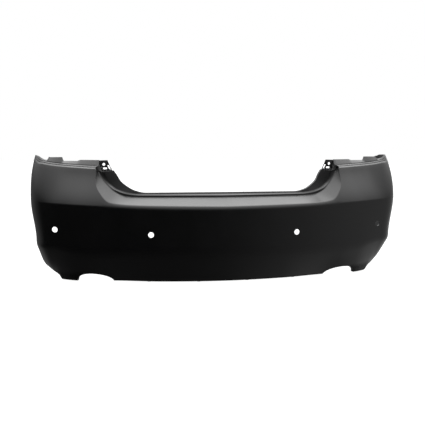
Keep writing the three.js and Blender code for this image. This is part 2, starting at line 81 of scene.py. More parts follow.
# ---------------------------------------------------------------- numbers and curves


def smooth(t: float) -> float:
    """Eased step from 0 to 1 as t goes from 0 to 1."""
    t = min(max(t, 0.0), 1.0)
    return t * t * (3 - 2 * t)


def lerp(a, b, t: float):
    """Value or point between a and b."""
    return a + (b - a) * t


def ramp(distance: float, width: float) -> float:
    """Distance past a fold, with the fold rounded over a width on both sides."""
    if distance >= width:
        return distance
    return max(distance + width, 0.0) ** 2 / (4 * width)


@lru_cache(maxsize=None)
def tangents(pairs: Pairs) -> tuple[float, ...]:
    """Slopes of a monotone curve at its given places, level at both ends.

    Args:
        pairs: Places and values, places rising.

    Returns:
        One slope for each pair.
    """
    slopes = [(b[1] - a[1]) / (b[0] - a[0]) for a, b in zip(pairs, pairs[1:])]
    inner = [0.0 if a * b <= 0 else 2 * a * b / (a + b) for a, b in zip(slopes, slopes[1:])]
    return (0.0, *inner, 0.0)


def along(pairs: Pairs, place: float) -> float:
    """Reads a smooth monotone curve.

    Args:
        pairs: Places and values, places rising.
        place: Where to read the curve.

    Returns:
        The value at that place, held level past either end.
    """
    if place <= pairs[0][0]:
        return pairs[0][1]
    if place >= pairs[-1][0]:
        return pairs[-1][1]
    k = max(i for i, pair in enumerate(pairs) if pair[0] <= place)
    (x0, y0), (x1, y1) = pairs[k], pairs[k + 1]
    slope = tangents(pairs)
    h = x1 - x0
    t = (place - x0) / h
    rise = (2 * t**3 - 3 * t**2 + 1) * y0 + (3 * t**2 - 2 * t**3) * y1
    return rise + (t**3 - 2 * t**2 + t) * h * slope[k] + (t**3 - t**2) * h * slope[k + 1]


def spread(start: float, end: float, count: int) -> list[float]:
    """Even values after start, up to and with end."""
    return [lerp(start, end, (i + 1) / count) for i in range(count)]


# ---------------------------------------------------------------- shader arithmetic


class Signal:
    """A shader socket that takes part in Python arithmetic."""

    def __init__(self, sheet: NodeSheet, socket: bpy.types.NodeSocket) -> None:
        """Wraps one output socket of a sheet."""
        self.sheet = sheet
        self.socket = socket

    def _math(self, operation: str, first: object, second: object = None) -> Signal:
        """Adds one Math node."""
        inputs = {0: first} if second is None else {0: first, 1: second}
        return self.sheet.add("ShaderNodeMath", {"operation": operation}, inputs)

    def __add__(self, other: object) -> Signal:
        """Sum."""
        return self._math("ADD", self, other)

    def __sub__(self, other: object) -> Signal:
        """Difference."""
        return self._math("SUBTRACT", self, other)

    def __mul__(self, other: object) -> Signal:
        """Product."""
        return self._math("MULTIPLY", self, other)

    def __truediv__(self, other: object) -> Signal:
        """Quotient."""
        return self._math("DIVIDE", self, other)

    def __pow__(self, other: object) -> Signal:
        """Power."""
        return self._math("POWER", self, other)

    def __radd__(self, other: object) -> Signal:
        """Sum with the number first."""
        return self._math("ADD", other, self)

    def __rsub__(self, other: object) -> Signal:
        """Difference with the number first."""
        return self._math("SUBTRACT", other, self)

    def __rmul__(self, other: object) -> Signal:
        """Product with the number first."""
        return self._math("MULTIPLY", other, self)

    def sine(self) -> Signal:
        """Sine of the value."""
        return self._math("SINE", self)

    def above(self, edge: float) -> Signal:
        """1 where the value is over an edge."""
        return self._math("GREATER_THAN", self, edge)

    def eased(self, low: float, high: float) -> Signal:
        """Eased step from 0 at low to 1 at high."""
        return self.sheet.add(
            "ShaderNodeMapRange", {"interpolation_type": "SMOOTHSTEP"}, {"Value": self, 1: low, 2: high}
        )


class NodeSheet:
    """Node tree of one material or of the world."""

    def __init__(self, tree: bpy.types.NodeTree) -> None:
        """Empties the tree."""
        tree.nodes.clear()
        self.tree = tree

    def node(self, kind: str, settings: dict, inputs: dict) -> bpy.types.Node:
        """Adds a node.

        Args:
            kind: Blender's node type.
            settings: Attributes set first; "stops" are a colour ramp's stops.
            inputs: Socket names or numbers, with values or links.

        Returns:
            The new node.
        """
        made = self.tree.nodes.new(kind)
        for name, value in settings.items():
            if name == "stops":
                self._set_stops(made.color_ramp, value)
            else:
                setattr(made, name, value)
        for name, value in inputs.items():
            if isinstance(value, Signal):
                self.tree.links.new(value.socket, made.inputs[name])
            else:
                made.inputs[name].default_value = value
        return made

    @staticmethod
    def _set_stops(colour_ramp: bpy.types.ColorRamp, stops: list[tuple[float, Colour]]) -> None:
        """Puts the stops on a colour ramp."""
        while len(colour_ramp.elements) < len(stops):
            colour_ramp.elements.new(0.5)
        for element, (place, colour) in zip(colour_ramp.elements, stops):
            element.position = place
            element.color = (*colour, 1.0)

    def add(self, kind: str, settings: dict, inputs: dict, output: int | str = 0) -> Signal:
        """Adds a node and returns one of its outputs."""
        return Signal(self, self.node(kind, settings, inputs).outputs[output])

    def place(self) -> Signal:
        """The point's place on the object, in metres."""
        return self.add("ShaderNodeTexCoord", {}, {}, "Object")

    def noise(self, vector: Signal, scale: float, detail: float = 2.0) -> Signal:
        """Soft noise from 0 to 1."""
        return self.add("ShaderNodeTexNoise", {}, {"Vector": vector, "Scale": scale, "Detail": detail}, 0)

    def pebbles(self, vector: Signal, scale: float) -> Signal:
        """Distance from the middle of each grain of a leather or moulded grain."""
        return self.add("ShaderNodeTexVoronoi", {}, {"Vector": vector, "Scale": scale}, "Distance")

    def blend(self, factor: Signal, first: object, second: object) -> Signal:
        """Colour between two colours."""
        first, second = (c if isinstance(c, Signal) else (*c, 1.0) for c in (first, second))
        return self.add("ShaderNodeMix", {"data_type": "RGBA"}, {0: factor, 6: first, 7: second}, 2)

    def bump(self, height: Signal, depth: float, strength: float = 1.0, over: Signal | None = None) -> Signal:
        """Normal from a height from 0 to 1 and its depth in metres."""
        inputs = {"Height": height, "Distance": depth, "Strength": strength}
        if over is not None:
            inputs["Normal"] = over
        return self.add("ShaderNodeBump", {}, inputs)


@dataclass(frozen=True)
class Finish:
    """A surface finish; each kind fills in how its colour, gloss and relief vary."""

    name: str
    colour: Colour
    roughness: float
    metallic: float = 0.0
    specular: float = 0.5

    def vary(self, sheet: NodeSheet) -> dict[str, object]:
        """Sockets of the shader that vary over the surface."""
        raise NotImplementedError

    def material(self) -> bpy.types.Material:
        """Makes the Blender material, or returns the one already made."""
        made = bpy.data.materials.get(self.name)
        if made is not None:
            return made
        made = bpy.data.materials.new(self.name)
        made.use_nodes = True
        sheet = NodeSheet(made.node_tree)
        sockets = {
            "Base Color": (*self.colour, 1.0),
            "Roughness": self.roughness,
            "Metallic": self.metallic,
            "Specular IOR Level": self.specular,
        }
        sockets.update(self.vary(sheet))
        sheet.node("ShaderNodeOutputMaterial", {}, {"Surface": self.shader(sheet, sockets)})
        made.diffuse_color = (*self.colour, 1.0)
        return made

    def shader(self, sheet: NodeSheet, sockets: dict[str, object]) -> Signal:
        """Shader of the finish, from its sockets."""
        return sheet.add("ShaderNodeBsdfPrincipled", {}, sockets)


@dataclass(frozen=True)
class PrimedSkin(Finish):
    """Dark primer on the face; where the skin's grain-and-shade mask says so, matt pebbled plastic whose low
    specular is painted shade.
    """

    grained_colour: Colour = (0.0025, 0.0025, 0.0027)
    grained_roughness: float = 0.42
    # painted shade: this low specular darkens the masked bands as if they lay in shade
    grained_specular: float = 0.14
    mask: str = "grained"

    def shader(self, sheet: NodeSheet, sockets: dict[str, object]) -> Signal:
        """Glossier primer, mixed by the grain-and-shade mask with the duller pebbled plastic, whose low
        specular darkens it as painted shade.
        """
        grain_and_shade_fac = sheet.add("ShaderNodeAttribute", {"attribute_name": self.mask}, {}, "Fac")
        primed = super().shader(sheet, sockets)
        # painted shade: the same shader with the low specular, so the masked bands reflect less and read dark
        grained = super().shader(sheet, {**sockets, "Specular IOR Level": self.grained_specular})
        return sheet.add("ShaderNodeMixShader", {}, {0: grain_and_shade_fac, 1: primed, 2: grained})

    def vary(self, sheet: NodeSheet) -> dict[str, object]:
        """Primer with orange peel, dust and uneven gloss; the grain-and-shade bands are matt and pebbled."""
        place = sheet.place()
        grain_and_shade_fac = sheet.add("ShaderNodeAttribute", {"attribute_name": self.mask}, {}, "Fac")
        broad = sheet.noise(place, 9.0, 3.0)
        cloudy = sheet.noise(place, 70.0, 4.0)
        peel = sheet.noise(place, 420.0, 2.0)
        dust = sheet.noise(place, 1500.0, 1.0).eased(0.72, 0.82) * broad.eased(0.45, 0.8)
        pebble = sheet.pebbles(place, 900.0)
        primer = sheet.blend(cloudy.eased(0.3, 0.8), self.colour, tuple(c * 1.35 for c in self.colour))
        primer = sheet.blend(dust * 0.12, primer, (0.1, 0.1, 0.097))
        grained = sheet.blend(pebble, self.grained_colour, tuple(c * 1.8 for c in self.grained_colour))
        gloss = self.roughness + (broad - 0.5) * 0.1 + (cloudy - 0.5) * 0.05 + dust * 0.2
        relief = sheet.bump(peel * (1 - grain_and_shade_fac), 0.00004)
        relief = sheet.bump(pebble * grain_and_shade_fac, 0.00022, over=relief)
        return {
            "Base Color": sheet.blend(grain_and_shade_fac, primer, grained),
            "Roughness": gloss * (1 - grain_and_shade_fac) + (self.grained_roughness + (pebble - 0.4) * 0.12) * grain_and_shade_fac,
            "Normal": relief,
        }


@dataclass(frozen=True)
class MouldedPlastic(Finish):
    """Injection moulded black plastic with a fine spark grain, flow clouds and rubbed edges."""

    grain: float = 1300.0

    def vary(self, sheet: NodeSheet) -> dict[str, object]:
        """Grain and clouded gloss."""
        place = sheet.place()
        cloudy = sheet.noise(place, 60.0, 4.0)
        pebble = sheet.pebbles(place, self.grain)
        rubbed = sheet.noise(place, 240.0, 3.0).eased(0.6, 0.8)
        lighter = tuple(c * 2.0 for c in self.colour)
        return {
            "Base Color": sheet.blend(rubbed * 0.6 + cloudy * 0.25, self.colour, lighter),
            "Roughness": self.roughness + (cloudy - 0.5) * 0.14 - rubbed * 0.08,
            "Normal": sheet.bump(pebble, 0.00006),
        }


@dataclass(frozen=True)
class StampedMetal(Finish):
    """Sheet metal with rolling lines, smudges and dull spots; embossing adds dimples."""

    line_scale: float = 60.0
    emboss: float = 0.0

    def vary(self, sheet: NodeSheet) -> dict[str, object]:
        """Rolling lines, smudges and, on foil, embossed dimples."""
        place = sheet.place()
        stretched = sheet.add(
            "ShaderNodeMapping", {}, {"Vector": place, "Scale": (self.line_scale, 2400.0, 2400.0)}
        )
        lines = sheet.noise(stretched, 1.0, 3.0)
        smudge = sheet.noise(place, 34.0, 4.0)
        stain = smudge.eased(0.55, 0.8)
        dull = tuple(c * 0.62 for c in self.colour)
        relief = sheet.bump(lines, 0.000015)
        if self.emboss:
            split = sheet.node("ShaderNodeSeparateXYZ", {}, {"Vector": place})
            across, deep = (Signal(sheet, split.outputs[i]) * self.emboss for i in (0, 1))
            dimples = (across + deep).sine() * (across - deep).sine()
            relief = sheet.bump(dimples.eased(0.1, 0.9), 0.0005, over=relief)
        return {
            "Base Color": sheet.blend(stain * 0.7 + lines * 0.2, self.colour, dull),
            "Roughness": self.roughness + (smudge - 0.5) * 0.2 + stain * 0.12,
            "Normal": relief,
        }


PRIMED = PrimedSkin("primed_cover", (0.0016, 0.0016, 0.0018), 0.34)
BRACKET_BLACK = MouldedPlastic("bracket_plastic", (0.006, 0.006, 0.0065), 0.5)
HOLDER_BLACK = MouldedPlastic("holder_plastic", (0.012, 0.012, 0.013), 0.48)
SHIELD_METAL = StampedMetal("shield_aluminium", (0.62, 0.63, 0.64), 0.34, 1.0, emboss=420.0)
RIVET_METAL = StampedMetal("rivet_aluminium", (0.5, 0.51, 0.52), 0.36, 1.0)
CLIP_STEEL = StampedMetal("clip_phosphate", (0.07, 0.072, 0.076), 0.46, 0.9)


# ---------------------------------------------------------------- modelling helpers


def deselect() -> None:
    """Leaves object mode and drops the selection."""
    if bpy.context.object and bpy.context.object.mode != "OBJECT":
        bpy.ops.object.mode_set(mode="OBJECT")
    bpy.ops.object.select_all(action="DESELECT")


def activate(obj: bpy.types.Object) -> None:
    """Makes one object the only selected and active one."""
    deselect()
    obj.select_set(True)
    bpy.context.view_layer.objects.active = obj


def modify(obj: bpy.types.Object, kind: str, **settings: object) -> None:
    """Adds a modifier with its settings and applies it.

    Args:
        obj: The object.
        kind: Blender's modifier type.
        **settings: The modifier's attributes.
    """
    activate(obj)
    modifier = obj.modifiers.new(kind.lower(), kind)
    for name, value in settings.items():
        setattr(modifier, name, value)
    bpy.ops.object.modifier_apply(modifier=modifier.name)


def boolean(obj: bpy.types.Object, tool: bpy.types.Object, operation: str) -> None:
    """Cuts a tool out of an object, or joins it on, and removes the tool."""
    modify(obj, "BOOLEAN", object=tool, operation=operation, solver="EXACT")
    bpy.data.objects.remove(tool)


def join(parts: list[bpy.types.Object]) -> bpy.types.Object:
    """Joins objects that don't touch into one object."""
    deselect()
    for part in parts:
        part.select_set(True)
    bpy.context.view_layer.objects.active = parts[0]
    bpy.ops.object.join()
    return bpy.context.object


def settle(obj: bpy.types.Object, matrix: Matrix | None = None) -> None:
    """Puts the object's place into its mesh, after a further move if one is given."""
    full = (matrix or Matrix.Identity(4)) @ obj.matrix_world
    obj.data.transform(full)
    obj.matrix_world = Matrix.Identity(4)
    if full.determinant() < 0:
        obj.data.flip_normals()


def box(size: tuple[float, float, float], centre: tuple[float, float, float]) -> bpy.types.Object:
    """Box in millimetres, with its place in its mesh."""
    deselect()
    bpy.ops.mesh.primitive_cube_add(size=1.0, location=centre, scale=size)
    made = bpy.context.object
    bpy.context.view_layer.update()
    settle(made)
    return made


def cylinder(radius: float, length: float, sides: int, at: Matrix) -> bpy.types.Object:
    """Cylinder in millimetres along the local Z of a matrix, centred on it."""
    deselect()
    bpy.ops.mesh.primitive_cylinder_add(vertices=sides, radius=radius, depth=length)
    made = bpy.context.object
    settle(made, at)
    return made


def select_faces(obj: bpy.types.Object, wanted: Callable[[bpy.types.MeshPolygon], bool]) -> None:
    """Enters edit mode with the faces selected whose centre and normal pass a test.

    Args:
        obj: The object.
        wanted: Takes a face's centre and normal and says whether it is wanted.
    """
    activate(obj)
    bpy.ops.object.mode_set(mode="EDIT")
    bpy.ops.mesh.select_mode(type="FACE")
    bpy.ops.mesh.select_all(action="DESELECT")
    bpy.ops.object.mode_set(mode="OBJECT")
    for face in obj.data.polygons:
        face.select = bool(wanted(face.center, face.normal))
    bpy.ops.object.mode_set(mode="EDIT")


def aim(position: Vector, direction: Vector, beside: Vector | None = None) -> Matrix:
    """Frame at a position whose Z points along a direction.

    Args:
        position: The origin, in millimetres.
        direction: Where local Z points.
        beside: Roughly where local X points.

    Returns:
        The frame's matrix.
    """
    z = direction.normalized()
    x = beside if beside is not None else Vector((1, 0, 0)) if abs(z.x) < 0.9 else UP
    x = (x - z * x.dot(z)).normalized()
    return Matrix.Translation(position) @ Matrix((x, z.cross(x), z)).transposed().to_4x4()


def into_frame(side: Side = Side.RIGHT) -> Matrix:
    """Takes the moulding's millimetres into the frame's metres, mirrored for the left side."""
    return Matrix.Diagonal((MM * side.value, MM, MM, 1.0)) @ Matrix.Translation(-ORIGIN)


@dataclass
class Piece:
    """One finished piece and what it stands for."""

    name: str
    nodes: tuple[str, ...]
    slot: Slot
    finish: Finish
    smooth_degrees: float = 32.0

    def dress(self, obj: bpy.types.Object) -> bpy.types.Object:
        """Names, shades and paints an object and puts it on the frame.

        Args:
            obj: The object, already in its place in the frame.

        Returns:
            The same object.
        """
        obj.name = self.name
        obj.data.name = self.name
        activate(obj)
        bpy.ops.object.shade_smooth_by_angle(angle=math.radians(self.smooth_degrees))
        obj.data.materials.clear()
        obj.data.materials.append(self.finish.material())
        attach(obj, "root")
        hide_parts(*self.nodes)
        LOG.info("%s: %d faces", obj.name, len(obj.data.polygons))
        return obj

    def dress_both(self, obj: bpy.types.Object) -> None:
        """Finishes a right-hand object and its mirrored copy for the left side.

        The piece's names carry a {side} mark that each side fills in.

        Args:
            obj: The right-hand object in the moulding's millimetres.
        """
        twin = obj.copy()
        twin.data = obj.data.copy()
        bpy.context.collection.objects.link(twin)
        for made, side in ((obj, Side.RIGHT), (twin, Side.LEFT)):
            settle(made, into_frame(side))
            names = tuple(node.format(side=side.word) for node in self.nodes)
            own = Piece(self.name.format(side=side.word), names, self.slot, self.finish, self.smooth_degrees)
            own.dress(made)


# ---------------------------------------------------------------- the shape of the moulding


@dataclass(frozen=True)
class Column:
    """One upright line over the skin: where it starts and where it meets the top edge."""

    s: float
    top_s: float
    top_z: float
    lean: float | None = None


@dataclass(frozen=True)
class Key:
    """A point of a column, with the setback of its rounding and how many points round it."""

    point: Vector
    setback: float = 0.0
    count: int = 1


@dataclass
class CoverShape:
    """Outer face of the moulding in its own millimetres, right half.

    s is the distance along the face from the centre line, z the height over the inner sensors.
    """

    skin: float = 3.0
    crown: float = 14.5
    corner_start: float = 846.0
    corner_length: float = 129.0
    corner_turn: float = 69.2
    side_turn: float = 5.8
    side_turn_length: float = 340.0
    side_start: float = 1150.0
    arch_radius: float = 400.0
    arch_centre: tuple[float, float] = (1015.0, -120.0)
    arch_flange: float = 25.0
    lip_return: float = 24.0
    bottom: float = -240.0
    sill_depth: float = 20.0
    crease_round: float = 4.0
    cutout: tuple[float, float, float, float] = (530.0, 640.0, 705.0, 40.0)
    corner_flat: float = 292.0
    seam_fall: float = 277.0
    tuck_steepening: tuple[float, float, float] = (0.62, 85.0, 80.0)
    wall_lead: float = 0.85  # power that moves the corner wall outward early
    wall_climb: float = 2.0  # how much sooner the corner wall rises than it moves outward
    seam_power: float = 1.8

    crease_z: Pairs = ((0, 118), (200, 120), (400, 125), (600, 135), (750, 142), (900, 150), (1000, 154))
    lamp_z: Pairs = (
        (0, 303), (640, 303), (700, 306), (750, 309), (808, 314), (860, 321.5), (900, 330.4),
        (916, 340), (941, 360), (957, 364), (1100, 360), (1150, 352),
    )  # fmt: skip
    lean_z: Pairs = (
        (0, 305), (610, 305), (678, 308.5), (740, 316), (790, 327), (835, 342), (870, 352),
        (905, 358), (957, 364), (1100, 360), (1150, 352),
    )  # fmt: skip
    lean_back: Pairs = (
        (0, 150), (470, 150), (600, 95), (700, 100), (780, 100), (850, 92), (930, 68),
        (1000, 46), (1100, 22), (1250, 5), (1400, 0),
    )  # fmt: skip
    lean_in: Pairs = ((0, 0), (470, 0), (600, 14), (850, 18), (930, 25), (1000, 24), (1400, 26))
    lean_ease: Pairs = ((0, 0.3), (740, 0.3), (840, 0), (1400, 0))
    lean_power: Pairs = ((0, 1), (700, 1), (800, 1.1), (905, 1.5), (1000, 2.6), (1400, 2.8))
    kink_z: Pairs = ((0, -92), (600, -92), (700, -84), (850, -58), (1400, -55))
    kink_softness: Pairs = ((0, 30), (600, 30), (850, 16), (1400, 14))
    kink_in: Pairs = ((0, 0), (700, 0), (870, 14), (930, 20), (1100, 22), (1400, 22))
    tuck_forward: Pairs = (
        (0, 0.38), (300, 0.45), (530, 0.6), (700, 0.5), (800, 0.55), (870, 0.62), (930, 0.7),
        (1000, 0.6), (1100, 0.35), (1200, 0.12), (1300, 0),
    )  # fmt: skip
    tuck_in: Pairs = ((0, 0), (700, 0), (800, 0.06), (930, 0.38), (1100, 0.38), (1250, 0.3), (1400, 0.22))
    edge_z: Pairs = (
        (0, -240), (800, -238), (822, -216), (870, -200), (930, -180), (1000, -168), (1100, -160),
        (1400, -158),
    )  # fmt: skip

    notch_step: Pairs = ((0, 0), (400, 1), (470, 2), (525, 3), (565, 4), (600, 5), (640, 6))
    notch_edge_s: Pairs = ((0, 0), (1, 400), (2, 480), (3, 547), (4, 590), (5, 617), (6, 622))
    notch_edge_z: Pairs = ((0, 131), (1, 138), (2, 142), (3, 151), (4, 187), (5, 235), (6, 302))
    notch_lines: tuple[tuple[tuple[float, ...], ...], ...] = (
        ((0, 397, 462, 516, 556, 583, 600), (97, 113, 118, 124, 146, 160, 168),
         (165, 167, 171, 193, 227, 262, 294)),
        ((0, 396, 459, 512, 551, 577, 593), (98.5, 114.5, 119.5, 126, 148, 162, 170),
         (175, 177, 183, 202, 231, 263, 292)),
        ((0, 380, 445, 498, 531, 553, 565), (119, 125, 128, 139, 150, 158, 164),
         (182, 183, 189, 203, 226, 256, 286)),
        ((0, 360, 415, 460, 488, 505, 520), (122, 128, 131, 145, 158, 170, 178),
         (187, 187, 196, 219, 243, 271, 292)),
    )  # fmt: skip
    lamp_flange: tuple[tuple[float, float], ...] = ((12, 5), (12.4, 8), (22, 12), (22.4, 15), (44, 16))
    lamp_flange_top: float = 337.0
    lamp_tabs: tuple[tuple[float, float, float], ...] = ((600, 720, 5), (791, 874, 18))
    lamp_top_s: Pairs = ((652, 624), (660, 626), (690, 668), (712, 703), (740, 740))

    @cached_property
    def plan_table(self) -> list[tuple[float, float]]:
        """Running sum of the face's direction, every 2 mm."""
        table = [(0.0, 0.0)]
        for i in range(800):
            a = self.heading(2 * i + 1)
            table.append((table[-1][0] + 2 * math.cos(a), table[-1][1] + 2 * math.sin(a)))
        return table

    def heading(self, s: float) -> float:
        """Direction of the face in plan, in radians from straight across."""
        corner = smooth((s - self.corner_start) / self.corner_length)
        side = smooth((s - self.corner_start - 0.7 * self.corner_length) / self.side_turn_length)
        crown = self.crown * min(s / self.corner_start, 1.0)
        return math.radians(crown + self.corner_turn * corner + self.side_turn * side)

    def plan(self, s: float) -> tuple[float, float]:
        """Place of the face in plan."""
        i = min(int(s / 2), len(self.plan_table) - 2)
        (x0, y0), (x1, y1) = self.plan_table[i], self.plan_table[i + 1]
        t = s / 2 - i
        return lerp(x0, x1, t), lerp(y0, y1, t)

    def inward(self, s: float) -> Vector:
        """Level direction from the face into the car."""
        return Vector((-math.sin(self.heading(s)), math.cos(self.heading(s)), 0.0))

    def surface(self, s: float, z: float) -> Vector:
        """Point of the outer face."""
        x, y = self.plan(s)
        crease = along(self.crease_z, s)
        risen = ramp(z - crease, self.crease_round)
        rise = risen / (along(self.lean_z, s) - crease)
        lean = lerp(rise, smooth(rise), along(self.lean_ease, s)) ** along(self.lean_power, s)
        x -= along(self.lean_in, s) * lean + along(self.kink_in, s) * smooth((crease - z) / 190)
        tuck = ramp(along(self.kink_z, s) - z, along(self.kink_softness, s))
        x -= along(self.tuck_in, s) * tuck * self.steepening(tuck)
        y += along(self.lean_back, s) * lean + along(self.tuck_forward, s) * tuck
        return Vector((x, y, z))

    def steepening(self, tuck: float) -> float:
        """Share of the inward tuck at a depth under the kink: slight at first, full lower down."""
        first, start, length = self.tuck_steepening
        return lerp(first, 1.0, smooth((tuck - start) / length))

    def edge(self, s: float) -> float:
        """Height of the bottom edge, with the tailpipe cut-out."""
        start, top, end, rise = self.cutout
        if not start < s < end:
            return along(self.edge_z, s)
        t = (top - s) / (top - start) if s < top else (s - top) / (end - top)
        roundness = 1.7 if s < top else 2.4
        return self.bottom + rise * (1 - t**roundness) ** (1 / roundness)

    def arch_s(self, z: float) -> float:
        """Distance along the face to the wheel arch edge at a height."""
        height = min(z - self.arch_centre[1], 0.6 * self.arch_radius)
        y = self.arch_centre[0] - math.sqrt(self.arch_radius**2 - height**2)
        return self.side_start + y - self.plan(self.side_start)[1]

    def place(self, column: Column, s: float, z: float) -> float:
        """Distance along the face at a height of a column, which leans on the side panel."""
        if column.lean is None:
            return s
        return lerp(self.side_start, self.arch_s(z), column.lean)

    def at(self, column: Column, z: float, s: float | None = None) -> Vector:
        """Point of the outer face on a column."""
        return self.surface(self.place(column, column.s if s is None else s, z), z)

    @staticmethod
    def side_amount(s: float) -> float:
        """0 on the back, 1 on the side panel, where the lamp flange has faded out."""
        return smooth((s - 880) / 80)

    def bottom_point(self, s: float, into: float) -> Vector:
        """Point on the turned bottom edge, some distance in from the face."""
        return self.surface(s, self.edge(s)) + self.inward(s) * into

    def lip_keys(self, column: Column) -> list[Key]:
        """The turned bottom edge and the lip band over it."""
        s = column.s
        edge = self.edge(s)
        soft = smooth((s - 900) / 100)
        bottom = self.at(column, edge)
        inner = lerp(bottom + self.inward(s) * self.lip_return, bottom - UP * 0.5, soft)
        return [
            Key(inner),
            Key(self.at(column, lerp(edge, edge + 2, soft)), lerp(3.0, 0.6, soft), 5),
            Key(self.at(column, edge + lerp(7, 9, soft))),
        ]

    def face_heights(self, column: Column) -> list[float]:
        """Heights of the points between the lip band and the top edge."""
        s = column.s
        lip = self.edge(s) + lerp(7, 9, smooth((s - 900) / 100))
        kink = max(along(self.kink_z, s), lip + 20)
        crease = min(along(self.crease_z, s), lerp(kink, column.top_z, 0.75))
        soft = min(along(self.kink_softness, s), 0.5 * (kink - lip))
        w = self.crease_round
        return [
            *spread(lip, kink - soft, 6),
            *spread(kink - soft, kink + soft, 5),
            *spread(kink + soft, crease - w, 9),
            *spread(crease - w, crease + w, 4),
            *spread(crease + w, column.top_z, 8),
        ]

    def face_keys(self, column: Column, top_setback: float) -> list[Key]:
        """Points of the face, ending on the rounded top edge."""
        heights = self.face_heights(column)
        crease = heights[23] - self.crease_round
        keys = []
        for z in heights:
            t = max(z - crease, 0.0) / (column.top_z - crease)
            keys.append(Key(self.at(column, z, lerp(column.s, column.top_s, t))))
        keys[-1] = Key(keys[-1].point, top_setback, 5)
        return keys

    def round_off(self, points: list[Vector], setbacks: tuple[float, ...]) -> list[Key]:
        """Rounds each inner point of a flange and leaves its free end."""
        keys = [Key(point, setback, 4) for point, setback in zip(points, setbacks)]
        return [*keys, Key(points[-1])]

    def notch_points(self, t: float) -> list[Vector]:
        """Points past the top edge round the boot opening, at step t from its middle to its corner."""
        steps = range(len(self.notch_lines[0][0]))
        points = [
            Vector(along(tuple(zip(steps, axis)), t) for axis in line) for line in self.notch_lines
        ]
        return [*points, points[-1] + Vector((0, self.sill_depth, 0))]

    def fan_points(self, x: float) -> list[Vector]:
        """Points of the flat at the top corner of the boot opening, which carries the bracket."""
        t = (x - 520) / 89
        flat = self.corner_flat
        return [
            Vector((lerp(600, 609, t), 166 + 2 * (1 - t), lerp(294, 300, t))),
            Vector((lerp(593, 608, t), 168 + 2 * (1 - t), flat)),
            Vector((lerp(562, 606, t), 170 - 6 * (1 - t) ** 2, lerp(286, 291, t))),
            Vector((x, 178, flat)),
            Vector((x, 178 + self.sill_depth, flat)),
        ]

    def tab_lift(self, s: float) -> float:
        """How far the lamp flange's inner edge is raised by a fixing tab."""
        return sum(
            lift * smooth((s - start) / 7) * smooth((end - s) / 7) for start, end, lift in self.lamp_tabs
        )

    def lamp_points(self, column: Column) -> list[Vector]:
        """Points of the flange under the lamp, fading into the side panel."""
        top_s, top_z = column.top_s, column.top_z
        side = self.side_amount(top_s) if column.lean is None else 1.0
        base = self.surface(self.place(column, top_s, top_z), top_z)
        points = []
        for k, (into, up) in enumerate(self.lamp_flange):
            if k == len(self.lamp_flange) - 1:
                up = max(self.lamp_flange_top - top_z, up) + self.tab_lift(top_s)
            flange = base + self.inward(top_s) * into + UP * up
            z = top_z + 25 * (k + 1) / len(self.lamp_flange)
            points.append(lerp(flange, self.surface(self.place(column, top_s, z), z), side))
        return points

    def corner_wall(self, t: float, start: float, end: float) -> list[Key]:
        """Wall between the bracket flat and the lamp flange: it rises steeply beside the flat.

        Args:
            t: How far across the wall, from 0 to 1.
            start: Distance along the face of the column at the flat.
            end: Distance along the face of the column at the flange.

        Returns:
            All points of the column.
        """
        ends = self.column_keys(start), self.column_keys(end)
        flange_start = len(ends[0]) - len(self.lamp_flange)
        keys = []
        for i, (a, b) in enumerate(zip(*ends)):
            point = lerp(a.point, b.point, t if i < flange_start else t**self.wall_lead)
            if i >= flange_start:
                point.z = lerp(a.point.z, b.point.z, smooth(min(self.wall_climb * t, 1.0)))
            keys.append(Key(point, a.setback, a.count))
        return keys

    def column_keys(self, s: float) -> list[Key]:
        """All points of an upright column at a distance along the face."""
        fan_start, fan_end, lamp_start = 640.0, 652.0, 660.0
        if s <= fan_start:
            t = along(self.notch_step, s)
            column = Column(s, along(self.notch_edge_s, t), along(self.notch_edge_z, t))
            rounded = self.round_off(self.notch_points(t), (2.2, 2.2, 2.0, 2.4))
            return [*self.face_keys(column, 7.0), *rounded]
        if s <= fan_end:
            t = (s - fan_start) / (fan_end - fan_start)
            column = Column(s, lerp(622, 624, t), 302.5)
            rounded = self.round_off(self.fan_points(lerp(520, 575, t)), (2.2, 2.2, 2.0, 2.4))
            return [*self.face_keys(column, 5.0), *rounded]
        if s < lamp_start:
            return self.corner_wall((s - fan_end) / (lamp_start - fan_end), fan_end, lamp_start)
        top_s = along(self.lamp_top_s, s) if s < 740 else s
        column = Column(s, top_s, along(self.lamp_z, top_s) - 25 * self.side_amount(top_s))
        return [*self.face_keys(column, 3.5), *self.round_off(self.lamp_points(column), (2, 1.2, 3, 3))]

    def side_column(self, lean: float) -> Column:
        """Column of the side panel, leaning towards the wheel arch."""
        s = lerp(self.side_start, self.arch_s(0.0), lean)
        top_z = along(self.lamp_z, self.side_start) - 25 - self.seam_fall * lean**self.seam_power
        return Column(s, s, top_z, lean)

    def side_keys(self, lean: float) -> list[Key]:
        """All points of a leaning column."""
        column = self.side_column(lean)
        flange = self.round_off(self.lamp_points(column), (2, 1.2, 3, 3))
        return [*self.lip_keys(column), *self.face_keys(column, 3.5), *flange]

    def keys(self, s: float) -> list[Key]:
        """All points of a column, from the turned bottom edge to the free top edge."""
        return [*self.lip_keys(Column(s, s, 0.0)), *self.column_keys(s)]


